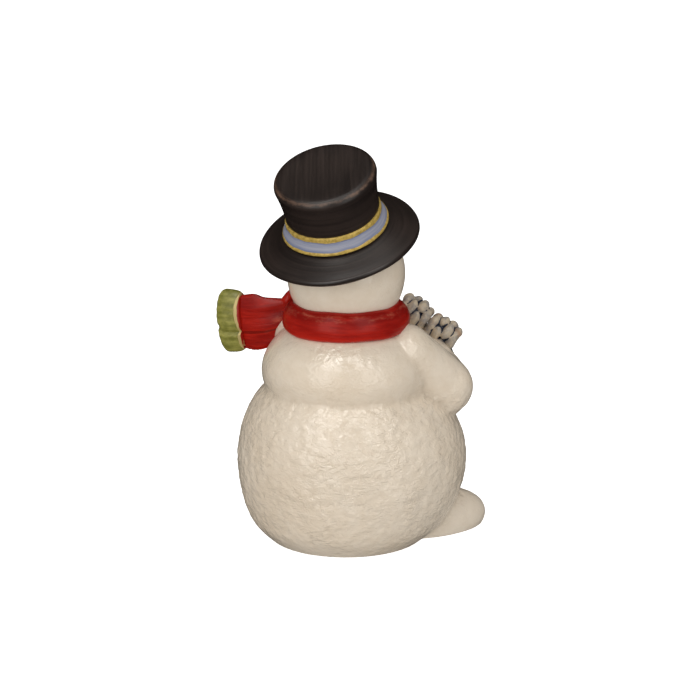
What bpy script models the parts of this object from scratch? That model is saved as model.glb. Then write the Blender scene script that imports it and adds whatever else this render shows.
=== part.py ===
"""Snowman figurine in glazed ceramic: hollow castings and small pressed pieces, stuck together with slip.

Frame: metres, +Z up. It stands on the ground at Z = 0 and faces -Y, so its right hand is at -X.
The origin is the middle of the flat foot.
"""

import math

import bmesh
import bpy
from mathutils import Matrix, Vector

MM = 0.001
RIGHT = -1
LEFT = 1

# Slip joint left between two pieces that touch.
GAP = 0.3 * MM

# Lower body.
BALL_RADIUS = 52.2 * MM
BALL_RISE = 48.0 * MM
BALL_WALL = 4.0 * MM
FOOT_RADIUS = 30.0 * MM
FOOT_ROUNDING = 16.0 * MM
BELLY_FORWARD = 5.3 * MM
SEAT_RADIUS = 33.0 * MM
VENT_RADIUS = 7.0 * MM
VENT_BACK = 17.0 * MM

# Chest.
CHEST_RADIUS = 38.1 * MM
CHEST_HALF_HEIGHT = 25.7 * MM
CHEST_WALL = 3.5 * MM
CREASE_RADIUS = 36.5 * MM
CHEST_TOP_RADIUS = 20.9 * MM
WAIST_SPIGOT_RADIUS = 18.0 * MM
WAIST_SPIGOT_LENGTH = 5.0 * MM

# Head.
HEAD_RADIUS = 26.7 * MM
HEAD_WALL = 3.5 * MM
HEAD_FOOT_RADIUS = 14.9 * MM
NECK_SPIGOT_RADIUS = 9.0 * MM
NECK_SPIGOT_WALL = 2.5 * MM
NECK_SPIGOT_LENGTH = 6.0 * MM
HEAD_VENT_RADIUS = 6.0 * MM

# Hat.
HAT_TILT = math.radians(24.2)
HAT_ROLL = math.radians(-1.5)
HAT_SEAT_DEPTH = 1.5 * MM
HAT_HEIGHT = 29.3 * MM
HAT_WALL = 3.0 * MM
CROWN_BASE_RADIUS = 24.2 * MM
CROWN_WAIST_RADIUS = 21.1 * MM
CROWN_TOP_RADIUS = 23.1 * MM
CROWN_EDGE_ROUNDING = 2.2 * MM
BAND_RISE = 2.2 * MM
BAND_HEIGHT = 6.8 * MM
BAND_THICKNESS = 1.1 * MM
BRIM_RADIUS = 36.7 * MM
BRIM_DROOP = 5.8 * MM
BRIM_EDGE = 2.8 * MM
BRIM_HOLE_RADIUS = 15.0 * MM
BRIM_ROOT_THICKNESS = 5.5 * MM
BRIM_SPIGOT_HEIGHT = 2.0 * MM

# Scarf.
WRAP_RADIUS = 28.3 * MM
WRAP_TOP_RADIUS = 23.3 * MM
WRAP_INNER_RADIUS = 18.0 * MM
WRAP_LOW_RADIUS = 27.0 * MM
KNOT_ANGLE = math.radians(-38.0)
KNOT_SIZE = (9.5 * MM, 6.5 * MM, 9.0 * MM)
KNOT_STANDS_OUT = 1.0 * MM
KNOT_RISE = 1.5 * MM
TAIL_THICKNESS = 5.5 * MM
TAIL_END_WIDTH = 26.5 * MM
TAIL_ROOT_WIDTH = 18.5 * MM
CUFF_WIDTH = 29.0 * MM
CUFF_THICKNESS = 10.0 * MM
CUFF_LENGTH = 12.5 * MM
TAIL_REACH = 30.5 * MM
# The side tail from the knot: to the left, back, down, each as a share of its reach, and the flare there.
TAIL_PATH = ((0.066, 0.131, 0.033, 0.0), (0.311, 0.475, 0.138, 0.0),
             (0.623, 0.623, 0.220, 0.65), (1.0, 0.672, 0.246, 1.0))
# Where the front tail drapes over the left forearm, as shares of the chest's radius.
DRAPE = (0.682, 0.892, 0.722)
DRAPE_SLACK = 3.5 * MM
DRAPE_DROP = 9.0 * MM

# Limbs.
SHOULDER_THICKNESS = 12.5 * MM
ELBOW_THICKNESS = 13.2 * MM
HAND_THICKNESS = 8.8 * MM
SLIPPER_LENGTH = 50.5 * MM
SLIPPER_WIDTH = 28.0 * MM
SLIPPER_HEIGHT = 17.8 * MM
SLIPPER_SPLAY = math.radians(26.0)
SLIPPER_SWELL = 0.74

# Places on the limbs: outward, forward and down from the neck, as shares of the chest's radius. The
# slipper's are outward and forward, as shares of the ball's radius.
SHOULDER = (0.709, 0.184, 0.328)
ELBOW = (0.955, 0.630, 0.800)
HAND = (0.420, 1.129, 0.504)
SLIPPER = (0.620, 0.536)

# Face and front.
EYE_RADIUS = 2.4 * MM
EYE_ACROSS = math.radians(19.0)
EYE_UP = math.radians(13.0)
NOSE_LENGTH = 17.0 * MM
NOSE_RADIUS = 3.7 * MM
NOSE_TAPER = 0.78
NOSE_DROOP = 1.5 * MM
NOSE_ROOT = 2.0 * MM
COAL_RADIUS = 1.7 * MM
COAL_COUNT = 5
SMILE_ACROSS = math.radians(23.0)
SMILE_LOWEST = math.radians(-25.0)
SMILE_LIFT = math.radians(8.0)
BUTTON_RADIUS = 3.6 * MM
BUTTON_FLATNESS = 0.75
BUTTON_COUNT = 3
BUTTON_PITCH = 14.0 * MM
# The highest button, in pitches above the middle of the ball.
BUTTON_START = 1.25

# Bunch held in front of the chest.
CONE_LENGTH = 15.2 * MM
CONE_RADIUS = 6.9 * MM
CONE_ROWS = 4
CONE_SCALES = 7
FROND_WIDTH = 9.0 * MM
FROND_THICKNESS = 4.0 * MM
# Places in the bunch, from the middle of a hand: outward, forward, up. The lower frond crosses the right
# hand, and the upper one stands beside the left hand.
CONE_UPPER = (-2.4 * MM, -2.0 * MM, 16.6 * MM)
CONE_LOWER = (9.6 * MM, 1.3 * MM, 7.6 * MM)
LOWER_FROND = (
    (-14.0 * MM, 1.5 * MM, 7.5 * MM), (-2.0 * MM, 4.5 * MM, 8.4 * MM),
    (11.0 * MM, 3.0 * MM, 1.2 * MM), (15.0 * MM, 0.5 * MM, -3.3 * MM),
)
UPPER_FROND = (
    (-10.0 * MM, 1.5 * MM, 5.2 * MM), (-8.5 * MM, 4.0 * MM, 10.2 * MM),
    (-5.0 * MM, 5.0 * MM, 15.7 * MM), (-1.0 * MM, 4.0 * MM, 20.7 * MM),
)

# Facets.
TURNED_STEPS = 32
SMALL_STEPS = 12


def below(radius, height):
    """The other leg of a right triangle on a circle of this radius."""
    return math.sqrt(radius * radius - height * height)


# Heights that follow from the sizes above, from the ground up.
BALL_Z = FOOT_ROUNDING + below(BALL_RADIUS - FOOT_ROUNDING, FOOT_RADIUS)
SEAT_Z = BALL_Z + BALL_RISE * below(1.0, SEAT_RADIUS / BALL_RADIUS)
CREASE_Z = BALL_Z + (BALL_RISE + GAP) * below(1.0, CREASE_RADIUS / (BALL_RADIUS + GAP))
CHEST_Z = CREASE_Z + CHEST_HALF_HEIGHT * below(1.0, CREASE_RADIUS / CHEST_RADIUS)
NECK_Z = CHEST_Z + CHEST_HALF_HEIGHT * below(1.0, CHEST_TOP_RADIUS / CHEST_RADIUS)
HEAD_BASE_Z = NECK_Z + GAP
HEAD_Z = HEAD_BASE_Z + below(HEAD_RADIUS, HEAD_FOOT_RADIUS)

# Heights along the axis of the hat, from the centre of the head.
HAT_BASE = HEAD_RADIUS - HAT_SEAT_DEPTH
HAT_TOP = HAT_BASE + HAT_HEIGHT
BAND_LOW = HAT_BASE + BAND_RISE
BAND_HIGH = BAND_LOW + BAND_HEIGHT


def at_chest(side, shares):
    """The point this far outward on that side, forward and down from the neck, in radii of the chest."""
    outward, forward, down = (share * CHEST_RADIUS for share in shares)
    return (side * outward, -forward, NECK_Z - down)


def by_hand(side, offset):
    """The point this far outward, forward and up from the middle of that hand."""
    outward, forward, up = offset
    x, y, z = at_chest(side, HAND)
    return (x + side * outward, y - forward, z + up)


def clear_scene():
    for old in list(bpy.data.objects):
        bpy.data.objects.remove(old, do_unlink=True)


def glaze(name, colour, roughness, metallic=0.0):
    """A Principled material of one colour."""
    made = bpy.data.materials.new(name)
    made.use_nodes = True
    shader = made.node_tree.nodes["Principled BSDF"]
    shader.inputs["Base Color"].default_value = (*colour, 1.0)
    shader.inputs["Roughness"].default_value = roughness
    shader.inputs["Metallic"].default_value = metallic
    made.diffuse_color = (*colour, 1.0)
    return made


def finished(name, shape, material, parent=None):
    """The bmesh as a named, smooth-shaded object."""
    bmesh.ops.remove_doubles(shape, verts=shape.verts, dist=1e-7)
    bmesh.ops.recalc_face_normals(shape, faces=shape.faces)
    mesh = bpy.data.meshes.new(name)
    shape.to_mesh(mesh)
    shape.free()
    mesh.shade_smooth()
    mesh.set_sharp_from_angle(angle=math.radians(40.0))
    made = bpy.data.objects.new(name, mesh)
    bpy.context.scene.collection.objects.link(made)
    made.parent = parent
    if material:
        mesh.materials.append(material)
    return made


def as_cutter(obj):
    """Keeps the object out of renders, as a tool for Booleans."""
    obj.hide_render = True
    obj.display_type = "WIRE"
    return obj


def cut(obj, *cutters):
    for cutter in cutters:
        modifier = obj.modifiers.new("cut_" + cutter.name, "BOOLEAN")
        modifier.operation = "DIFFERENCE"
        modifier.solver = "EXACT"
        modifier.object = cutter
    return obj


def arc(centre, radii, start, end, count):
    """Points (radius, height) on an ellipse, from start to end in degrees above the horizontal."""
    points = []
    for step in range(count + 1):
        angle = math.radians(start + (end - start) * step / count)
        points.append((centre[0] + radii[0] * math.cos(angle), centre[1] + radii[1] * math.sin(angle)))
    return points


def angle_at(height, half_height):
    """Degrees above the horizontal at which an ellipse reaches this height over its centre."""
    return math.degrees(math.asin(height / half_height))


def turned(name, outline, material, steps=TURNED_STEPS, parent=None):
    """The outline, points (radius, height), turned about Z. It is a ring unless it ends on the axis."""
    shape = bmesh.new()
    verts = [shape.verts.new((radius, 0.0, height)) for radius, height in outline]
    ends = list(zip(verts, verts[1:]))
    if outline[0][0] > 0.0:
        ends.append((verts[-1], verts[0]))
    edges = [shape.edges.new(pair) for pair in ends]
    bmesh.ops.spin(
        shape,
        geom=verts + edges,
        cent=(0.0, 0.0, 0.0),
        axis=(0.0, 0.0, 1.0),
        angle=2.0 * math.pi,
        steps=steps,
        use_merge=True,
    )
    return finished(name, shape, material, parent)


def lofted(name, rings, material, parent=None):
    """A closed skin over rings of equally many points, with flat ends."""
    shape = bmesh.new()
    loops = [[shape.verts.new(point) for point in ring] for ring in rings]
    for low, high in zip(loops, loops[1:]):
        for index in range(len(low)):
            after = (index + 1) % len(low)
            shape.faces.new((low[index], low[after], high[after], high[index]))
    shape.faces.new(reversed(loops[0]))
    shape.faces.new(loops[-1])
    return finished(name, shape, material, parent)


def spline(rows, per_span):
    """Rows of numbers read from a smooth curve through the given rows."""
    padded = [rows[0], *rows, rows[-1]]
    smooth = []
    for a, b, c, d in zip(padded, padded[1:], padded[2:], padded[3:]):
        for step in range(per_span):
            t = step / per_span
            smooth.append(
                tuple(
                    0.5 * (2 * q + (r - p) * t + (2 * p - 5 * q + 4 * r - s) * t * t
                           + (3 * q - p - 3 * r + s) * t ** 3)
                    for p, q, r, s in zip(a, b, c, d)
                )
            )
    smooth.append(tuple(rows[-1]))
    return smooth


def swept(name, stations, across, material, sides=SMALL_STEPS, round_start=True, round_end=True):
    """A bar through stations (x, y, z, half width, half thickness), with its width along `across`."""
    centres = [Vector(station[:3]) for station in stations]
    rings = []
    last = len(stations) - 1
    cap_steps = (0.0, 0.45, 0.78, 0.95)
    for index, station in enumerate(stations):
        along = (centres[min(index + 1, last)] - centres[max(index - 1, 0)]).normalized()
        thick_way = along.cross(Vector(across)).normalized()
        wide_way = thick_way.cross(along).normalized()
        half_width, half_thickness = station[3:]
        placed = [(0.0, 1.0)]
        if index == 0 and round_start:
            placed = [(-reach, below(1.0, reach)) for reach in reversed(cap_steps)]
        if index == last and round_end:
            placed = [(reach, below(1.0, reach)) for reach in cap_steps]
        for reach, scale in placed:
            middle = centres[index] + along * reach * half_thickness
            ring = []
            for side in range(sides):
                angle = 2.0 * math.pi * side / sides
                wide = wide_way * half_width * scale * math.cos(angle)
                ring.append(middle + wide + thick_way * half_thickness * scale * math.sin(angle))
            rings.append(ring)
    return lofted(name, rings, material)


def ovoid(name, centre, size, material, turn=0.0, steps=SMALL_STEPS):
    """An ellipsoid with these half sizes, turned about Z."""
    shape = bmesh.new()
    bmesh.ops.create_uvsphere(shape, u_segments=steps, v_segments=steps * 3 // 4, radius=1.0)
    bmesh.ops.scale(shape, vec=size, verts=shape.verts)
    place = Matrix.Translation(centre) @ Matrix.Rotation(turn, 4, "Z")
    bmesh.ops.transform(shape, matrix=place, verts=shape.verts)
    return finished(name, shape, material)


def lean(height):
    """How far the belly stands forward at this height: not at all at the foot and round the seat."""
    top = SEAT_Z - BALL_WALL
    if not 0.0 < height < top:
        return 0.0
    return BELLY_FORWARD * math.sin(math.pi * height / top)


def leaned(obj):
    for vertex in obj.data.vertices:
        vertex.co.y -= lean(vertex.co.z)
    return obj


def ball_outline(grow):
    """From the middle of the foot up the outside of the lower body to the rim of its seat."""
    radius = BALL_RADIUS + grow
    rounding = FOOT_ROUNDING + grow
    tangent = -math.degrees(math.acos(FOOT_RADIUS / (BALL_RADIUS - FOOT_ROUNDING)))
    foot = arc((FOOT_RADIUS, FOOT_ROUNDING), (rounding, rounding), -90.0, tangent, 4)
    flank = arc((0.0, BALL_Z), (radius, radius), tangent, 0.0, 5)
    rises = (radius, BALL_RISE + grow)
    crease = angle_at(CREASE_Z - BALL_Z, BALL_RISE)
    dome = arc((0.0, BALL_Z), rises, 0.0, crease, 6)
    shelf = arc((0.0, BALL_Z), rises, crease, angle_at(SEAT_Z - BALL_Z, BALL_RISE), 1)
    return [(0.0, foot[0][1]), *foot, *flank[1:], *dome[1:], *shelf[1:]]


def lower_body(material):
    hole = WAIST_SPIGOT_RADIUS + GAP
    ceiling = SEAT_Z - BALL_WALL
    inner = BALL_RADIUS - BALL_WALL
    rise = BALL_RISE - BALL_WALL
    dome = arc((0.0, BALL_Z), (inner, rise), angle_at(ceiling - BALL_Z, rise), 0.0, 4)
    bowl = arc((0.0, BALL_Z), (inner, inner), 0.0, angle_at(BALL_WALL - BALL_Z, inner) * 0.8, 4)
    floor = (FOOT_RADIUS * 0.8, BALL_WALL)
    outline = [*ball_outline(0.0), (hole, SEAT_Z), (hole, ceiling), *dome, *bowl[1:], floor, (0.0, BALL_WALL)]
    vent_outline = [(0.0, 3.0 * BALL_WALL), (VENT_RADIUS, 3.0 * BALL_WALL),
                    (VENT_RADIUS, -BALL_WALL), (0.0, -BALL_WALL)]
    vent = as_cutter(turned("vent_cutter", vent_outline, None, SMALL_STEPS))
    vent.location.y = VENT_BACK
    return cut(leaned(turned("lower_body", outline, material)), vent)


def chest_outline(grow):
    """From the crease over the outside of the chest to the rim of its flat top."""
    radii = (CHEST_RADIUS + grow, CHEST_HALF_HEIGHT + grow)
    low = angle_at(CREASE_Z - CHEST_Z, CHEST_HALF_HEIGHT)
    high = angle_at(NECK_Z - CHEST_Z, CHEST_HALF_HEIGHT)
    return arc((0.0, CHEST_Z), radii, low, high, 8)


def chest(material):
    floor = SEAT_Z + GAP
    ceiling = NECK_Z - CHEST_WALL
    hole = NECK_SPIGOT_RADIUS + GAP
    inner = (CHEST_RADIUS - CHEST_WALL, CHEST_HALF_HEIGHT - CHEST_WALL)
    cavity = arc(
        (0.0, CHEST_Z), inner,
        angle_at(ceiling - CHEST_Z, inner[1]), angle_at(floor + CHEST_WALL - CHEST_Z, inner[1]), 4,
    )
    bore = WAIST_SPIGOT_RADIUS - CHEST_WALL
    tip = floor - WAIST_SPIGOT_LENGTH
    dish = (BALL_RADIUS + GAP, BALL_RISE + GAP)
    collar = arc(
        (0.0, BALL_Z), dish, angle_at(floor - BALL_Z, dish[1]), angle_at(CREASE_Z - BALL_Z, dish[1]), 2,
    )
    outline = [
        *chest_outline(0.0),
        (hole, NECK_Z), (hole, ceiling),
        *cavity,
        (bore, floor + CHEST_WALL), (bore, tip), (WAIST_SPIGOT_RADIUS, tip), (WAIST_SPIGOT_RADIUS, floor),
        *collar[:-1],
    ]
    return turned("chest", outline, material)


def head(material):
    bore = NECK_SPIGOT_RADIUS - NECK_SPIGOT_WALL
    tip = HEAD_BASE_Z - NECK_SPIGOT_LENGTH
    floor = HEAD_BASE_Z + HEAD_WALL
    inner = HEAD_RADIUS - HEAD_WALL
    outside = arc(
        (0.0, HEAD_Z), (HEAD_RADIUS, HEAD_RADIUS), 90.0, angle_at(HEAD_BASE_Z - HEAD_Z, HEAD_RADIUS), 11,
    )
    inside = arc((0.0, HEAD_Z), (inner, inner), angle_at(floor - HEAD_Z, inner), 90.0, 6)
    outline = [
        (0.0, HEAD_Z + HEAD_RADIUS), *outside[1:],
        (NECK_SPIGOT_RADIUS, HEAD_BASE_Z), (NECK_SPIGOT_RADIUS, tip), (bore, tip), (bore, floor),
        *inside[:-1], (0.0, HEAD_Z + inner),
    ]
    return turned("head", outline, material)


def head_cutter():
    radius = HEAD_RADIUS + GAP
    outside = arc((0.0, HEAD_Z), (radius, radius), -90.0, 90.0, 18)
    outline = [(0.0, HEAD_Z - radius), *outside[1:-1], (0.0, HEAD_Z + radius)]
    return as_cutter(turned("head_cutter", outline, None))


def hat_axis():
    """An empty at the centre of the head, with Z along the hat's axis, which leans back and to its right."""
    axis = bpy.data.objects.new("hat_axis", None)
    bpy.context.scene.collection.objects.link(axis)
    axis.location = (0.0, 0.0, HEAD_Z)
    axis.rotation_euler = (-HAT_TILT, HAT_ROLL, 0.0)
    return axis


def head_vent(axis):
    outline = [(0.0, HEAD_RADIUS + HEAD_WALL), (HEAD_VENT_RADIUS, HEAD_RADIUS + HEAD_WALL),
               (HEAD_VENT_RADIUS, HEAD_RADIUS / 2), (0.0, HEAD_RADIUS / 2)]
    return as_cutter(turned("head_vent_cutter", outline, None, SMALL_STEPS, axis))


def crown_radius(height):
    """Radius of the crown above the band: waisted, and wider again at the top."""
    share = (height - BAND_HIGH) / (HAT_TOP - CROWN_EDGE_ROUNDING - BAND_HIGH)
    return CROWN_WAIST_RADIUS + (CROWN_TOP_RADIUS - CROWN_WAIST_RADIUS) * share * share


def band_radius(height):
    """Radius of the outer face of the ribbon, which flares towards the brim."""
    share = (BAND_HIGH - height) / (BAND_HIGH - BAND_LOW)
    return CROWN_WAIST_RADIUS + (CROWN_BASE_RADIUS - CROWN_WAIST_RADIUS) * 0.8 * share ** 1.5


def hat_crown(material, axis):
    groove = BAND_THICKNESS + GAP
    edge = HAT_TOP - CROWN_EDGE_ROUNDING
    rounding = (CROWN_EDGE_ROUNDING, CROWN_EDGE_ROUNDING)
    top = arc((CROWN_TOP_RADIUS - CROWN_EDGE_ROUNDING, edge), rounding, 90.0, 0.0, 3)
    side = []
    for step in range(1, 5):
        height = edge + (BAND_HIGH + GAP - edge) * step / 4
        side.append((crown_radius(height), height))
    seat = []
    for step in range(4):
        height = BAND_HIGH + GAP + (BAND_LOW - BAND_HIGH - 2 * GAP) * step / 3
        seat.append((band_radius(min(max(height, BAND_LOW), BAND_HIGH)) - groove, height))
    foot = HAT_BASE + GAP
    mouth = CROWN_BASE_RADIUS - 2 * HAT_WALL
    bore = CROWN_WAIST_RADIUS - groove - HAT_WALL
    outline = [
        (0.0, HAT_TOP), *top, *side, *seat,
        (band_radius(BAND_LOW) + GAP, BAND_LOW - GAP), (CROWN_BASE_RADIUS, foot),
        (mouth, foot), (mouth, foot + BRIM_SPIGOT_HEIGHT), (bore, BAND_HIGH),
        (bore, HAT_TOP - HAT_WALL), (0.0, HAT_TOP - HAT_WALL),
    ]
    return turned("hat_crown", outline, material, parent=axis)


def hat_band(material, axis):
    heights = [BAND_LOW + (BAND_HIGH - BAND_LOW) * step / 3 for step in range(4)]
    outer = [(band_radius(height), height) for height in heights]
    inner = [(band_radius(height) - BAND_THICKNESS, height) for height in reversed(heights)]
    return turned("hat_band", [*outer, *inner], material, parent=axis)


def hat_brim(material, axis):
    rim = BRIM_EDGE / 2
    rim_radius = BRIM_RADIUS - rim
    rim_height = HAT_BASE - BRIM_DROOP
    top = []
    for step in range(4):
        share = step / 4
        radius = CROWN_BASE_RADIUS + (rim_radius - CROWN_BASE_RADIUS) * share
        top.append((radius, HAT_BASE - (BRIM_DROOP - rim) * share ** 1.15))
    edge = arc((rim_radius, rim_height), (rim, rim), 80.0, -90.0, 4)
    root = HAT_BASE - BRIM_ROOT_THICKNESS
    dish = HEAD_RADIUS + GAP
    seat = arc(
        (0.0, 0.0), (dish, dish),
        angle_at(root, dish), math.degrees(math.acos(BRIM_HOLE_RADIUS / dish)), 2,
    )
    spigot = CROWN_BASE_RADIUS - 2 * HAT_WALL - GAP
    outline = [
        *top, *edge,
        ((rim_radius + CROWN_BASE_RADIUS) / 2, (rim_height - rim + root) / 2 + rim / 2),
        (CROWN_BASE_RADIUS, root), *seat,
        (BRIM_HOLE_RADIUS, HAT_BASE + BRIM_SPIGOT_HEIGHT - GAP),
        (spigot, HAT_BASE + BRIM_SPIGOT_HEIGHT - GAP), (spigot, HAT_BASE),
    ]
    return turned("hat_brim", outline, material, parent=axis)


def wrap_bottom(radius, grow):
    """Height at which the scarf rests on the chest at this radius."""
    chest_height = CHEST_HALF_HEIGHT * below(1.0, min(radius, CHEST_RADIUS) / CHEST_RADIUS)
    return min(CHEST_Z + chest_height, NECK_Z) + GAP - grow


def wrap_top(radius, grow):
    """Height at which the scarf touches the head at this radius."""
    return HEAD_Z - below(HEAD_RADIUS + GAP, radius) + grow


def wrap_outside(grow):
    """The bulging outer face of the scarf, from its lower edge up."""
    low = wrap_bottom(WRAP_LOW_RADIUS, grow)
    high = wrap_top(WRAP_TOP_RADIUS, grow)
    middle = low + (high - low) * 0.4
    bulge = WRAP_RADIUS + grow
    lower = arc((WRAP_LOW_RADIUS, middle), (bulge - WRAP_LOW_RADIUS, middle - low), -90.0, 0.0, 3)
    upper = arc((WRAP_TOP_RADIUS, middle), (bulge - WRAP_TOP_RADIUS, high - middle), 0.0, 90.0, 4)
    return [*lower, *upper[1:]]


def scarf_wrap(material):
    inner_top = []
    for step in range(1, 4):
        radius = WRAP_TOP_RADIUS + (WRAP_INNER_RADIUS - WRAP_TOP_RADIUS) * step / 3
        inner_top.append((radius, wrap_top(radius, -0.2 * GAP)))
    inner_bottom = []
    for radius in (WRAP_INNER_RADIUS, CHEST_TOP_RADIUS + GAP, (CHEST_TOP_RADIUS + WRAP_LOW_RADIUS) / 2):
        inner_bottom.append((radius, wrap_bottom(radius, -0.2 * GAP)))
    return turned("scarf_wrap", [*wrap_outside(0.0), *inner_top, *inner_bottom], material)


def wrap_cutter():
    outside = wrap_outside(GAP)
    outline = [(0.0, outside[0][1]), *outside, (0.0, outside[-1][1])]
    return as_cutter(turned("wrap_cutter", outline, None))


def ball_cutter():
    outline = ball_outline(GAP)
    return as_cutter(leaned(turned("ball_cutter", [*outline, (0.0, outline[-1][1])], None)))


def chest_cutter():
    outside = chest_outline(GAP)
    rim = (outside[0][0], outside[0][1] - 2.0 * GAP)
    outline = [(0.0, rim[1]), rim, *outside, (0.0, outside[-1][1])]
    return as_cutter(turned("chest_cutter", outline, None))


def arm_bars(side, grow):
    """Stations of the upper arm, from shoulder to elbow, and of the forearm, from elbow to hand."""
    shoulder = SHOULDER_THICKNESS + grow
    elbow = ELBOW_THICKNESS + grow
    hand = HAND_THICKNESS + grow
    upper = [(*at_chest(side, SHOULDER), shoulder, shoulder), (*at_chest(side, ELBOW), elbow, elbow)]
    fore = [upper[1], (*at_chest(side, HAND), hand, hand)]
    return upper, fore


def arm(name, side, material, cutters):
    upper, fore = arm_bars(side, 0.0)
    made = swept(name, upper, (0.0, 0.0, 1.0), material)
    joined = made.modifiers.new("forearm", "BOOLEAN")
    joined.operation = "UNION"
    joined.solver = "EXACT"
    joined.object = as_cutter(swept(name + "_forearm", fore, (0.0, 0.0, 1.0), None))
    return cut(made, *cutters)


def arm_cutters(side):
    bars = enumerate(arm_bars(side, GAP))
    return [as_cutter(swept(f"arm_cutter_{side}_{n}", bar, (0.0, 0.0, 1.0), None)) for n, bar in bars]


def foot(name, side, material, cutter):
    """A slipper with a flat sole, which points forward and outward from under the ball."""
    size = (SLIPPER_WIDTH / 2, SLIPPER_LENGTH / 2, SLIPPER_HEIGHT * SLIPPER_SWELL)
    turn = side * SLIPPER_SPLAY
    outward, forward = (share * BALL_RADIUS for share in SLIPPER)
    centre = (side * outward, -forward, SLIPPER_HEIGHT - size[2])
    made = ovoid(name, centre, size, material, turn, 20)
    shape = bmesh.new()
    shape.from_mesh(made.data)
    everything = [*shape.verts, *shape.edges, *shape.faces]
    ground = {"plane_co": (0.0, 0.0, 0.0), "plane_no": (0.0, 0.0, -1.0)}
    sole = bmesh.ops.bisect_plane(shape, geom=everything, clear_outer=True, **ground)
    edges = [item for item in sole["geom_cut"] if isinstance(item, bmesh.types.BMEdge)]
    bmesh.ops.contextual_create(shape, geom=edges)
    bmesh.ops.recalc_face_normals(shape, faces=shape.faces)
    shape.to_mesh(made.data)
    shape.free()
    return cut(made, cutter)


def knot_centre():
    radius = WRAP_RADIUS + KNOT_STANDS_OUT
    return (radius * math.cos(KNOT_ANGLE), radius * math.sin(KNOT_ANGLE), NECK_Z + KNOT_RISE)


def scarf_knot(material, cutters):
    made = ovoid("scarf_knot", knot_centre(), KNOT_SIZE, material, KNOT_ANGLE + math.pi / 2, 14)
    return cut(made, *cutters)


def knot_cutter():
    size = [half + GAP for half in KNOT_SIZE]
    return as_cutter(ovoid("knot_cutter", knot_centre(), size, None, KNOT_ANGLE + math.pi / 2, 14))


def side_tail_stations():
    """From the knot out to the figure's left, flaring towards its end."""
    root = knot_centre()
    rows = []
    for left, back, down, flare in TAIL_PATH:
        width = TAIL_ROOT_WIDTH + (TAIL_END_WIDTH - TAIL_ROOT_WIDTH) * flare
        rows.append((root[0] + left * TAIL_REACH, root[1] + back * TAIL_REACH, root[2] - down * TAIL_REACH,
                     width / 2, TAIL_THICKNESS / 2))
    return spline(rows, 4)


def front_tail_stations():
    """From the knot down over the left forearm, to hang against the belly."""
    root = knot_centre()
    half = TAIL_THICKNESS / 2
    clear = HAND_THICKNESS + half + DRAPE_SLACK
    over_x, over_y, over_z = at_chest(LEFT, DRAPE)
    rows = [(root[0] - half / 3, root[1] - half, root[2] - half, TAIL_ROOT_WIDTH / 2, half)]
    for angle in (75.0, 40.0, 5.0):
        turn = math.radians(angle)
        rows.append((over_x, over_y - clear * math.cos(turn), over_z + clear * math.sin(turn),
                     TAIL_ROOT_WIDTH / 2 + 0.5 * MM, half))
    rows.append((over_x, over_y - clear, over_z - DRAPE_DROP, TAIL_END_WIDTH / 2 - 1.5 * MM, half))
    return spline(rows, 4)


def cuff_stations(tail):
    """The fat border that carries a tail on past its end."""
    end = Vector(tail[-1][:3])
    way = (end - Vector(tail[-2][:3])).normalized()
    start = end + way * GAP
    rounding = CUFF_THICKNESS / 2
    straight = CUFF_LENGTH - rounding
    stations = []
    for share in (0.0, 0.12, 0.5, 1.0):
        middle = start + way * straight * share
        swell = 1.0 - 0.25 * (1.0 - share) ** 4
        stations.append((*middle, CUFF_WIDTH / 2 * swell, rounding * swell))
    return stations


def carrot(material, cutter):
    start_y = NOSE_ROOT - HEAD_RADIUS
    start_z = HEAD_Z - NOSE_ROOT / 2
    rows = []
    for step in range(6):
        share = step / 5
        reach = (NOSE_LENGTH + NOSE_ROOT) * share
        radius = NOSE_RADIUS * (1.0 - NOSE_TAPER * share)
        rows.append((0.0, start_y - reach, start_z - NOSE_DROOP * share * share, radius, radius))
    return cut(swept("nose", rows, (0.0, 0.0, 1.0), material, SMALL_STEPS, round_start=False), cutter)


def on_head(across, up):
    """The point of the head's surface at these angles from straight ahead."""
    way = Vector((math.sin(across) * math.cos(up), -math.cos(across) * math.cos(up), math.sin(up)))
    return Vector((0.0, 0.0, HEAD_Z)) + way * HEAD_RADIUS


def pebble(name, centre, radius, material, cutter, flatten=1.0):
    return cut(ovoid(name, centre, (radius, radius * flatten, radius), material, 0.0, 8), cutter)


def face(black, orange, cutter):
    for name, side in (("eye_right", RIGHT), ("eye_left", LEFT)):
        pebble(name, on_head(side * EYE_ACROSS, EYE_UP), EYE_RADIUS, black, cutter)
    carrot(orange, cutter)
    for index in range(COAL_COUNT):
        share = 2.0 * index / (COAL_COUNT - 1) - 1.0
        across = SMILE_ACROSS * share
        up = SMILE_LOWEST + SMILE_LIFT * share * share
        pebble(f"mouth_coal_{index + 1}", on_head(across, up), COAL_RADIUS, black, cutter)


def buttons(black, cutter):
    for index in range(BUTTON_COUNT):
        height = BALL_Z + BUTTON_PITCH * (BUTTON_START - index)
        rise = BALL_RISE if height > BALL_Z else BALL_RADIUS
        radius = BALL_RADIUS * below(1.0, (height - BALL_Z) / rise)
        centre = (0.0, -radius - lean(height), height)
        pebble(f"button_{index + 1}", centre, BUTTON_RADIUS, black, cutter, BUTTON_FLATNESS)


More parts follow.
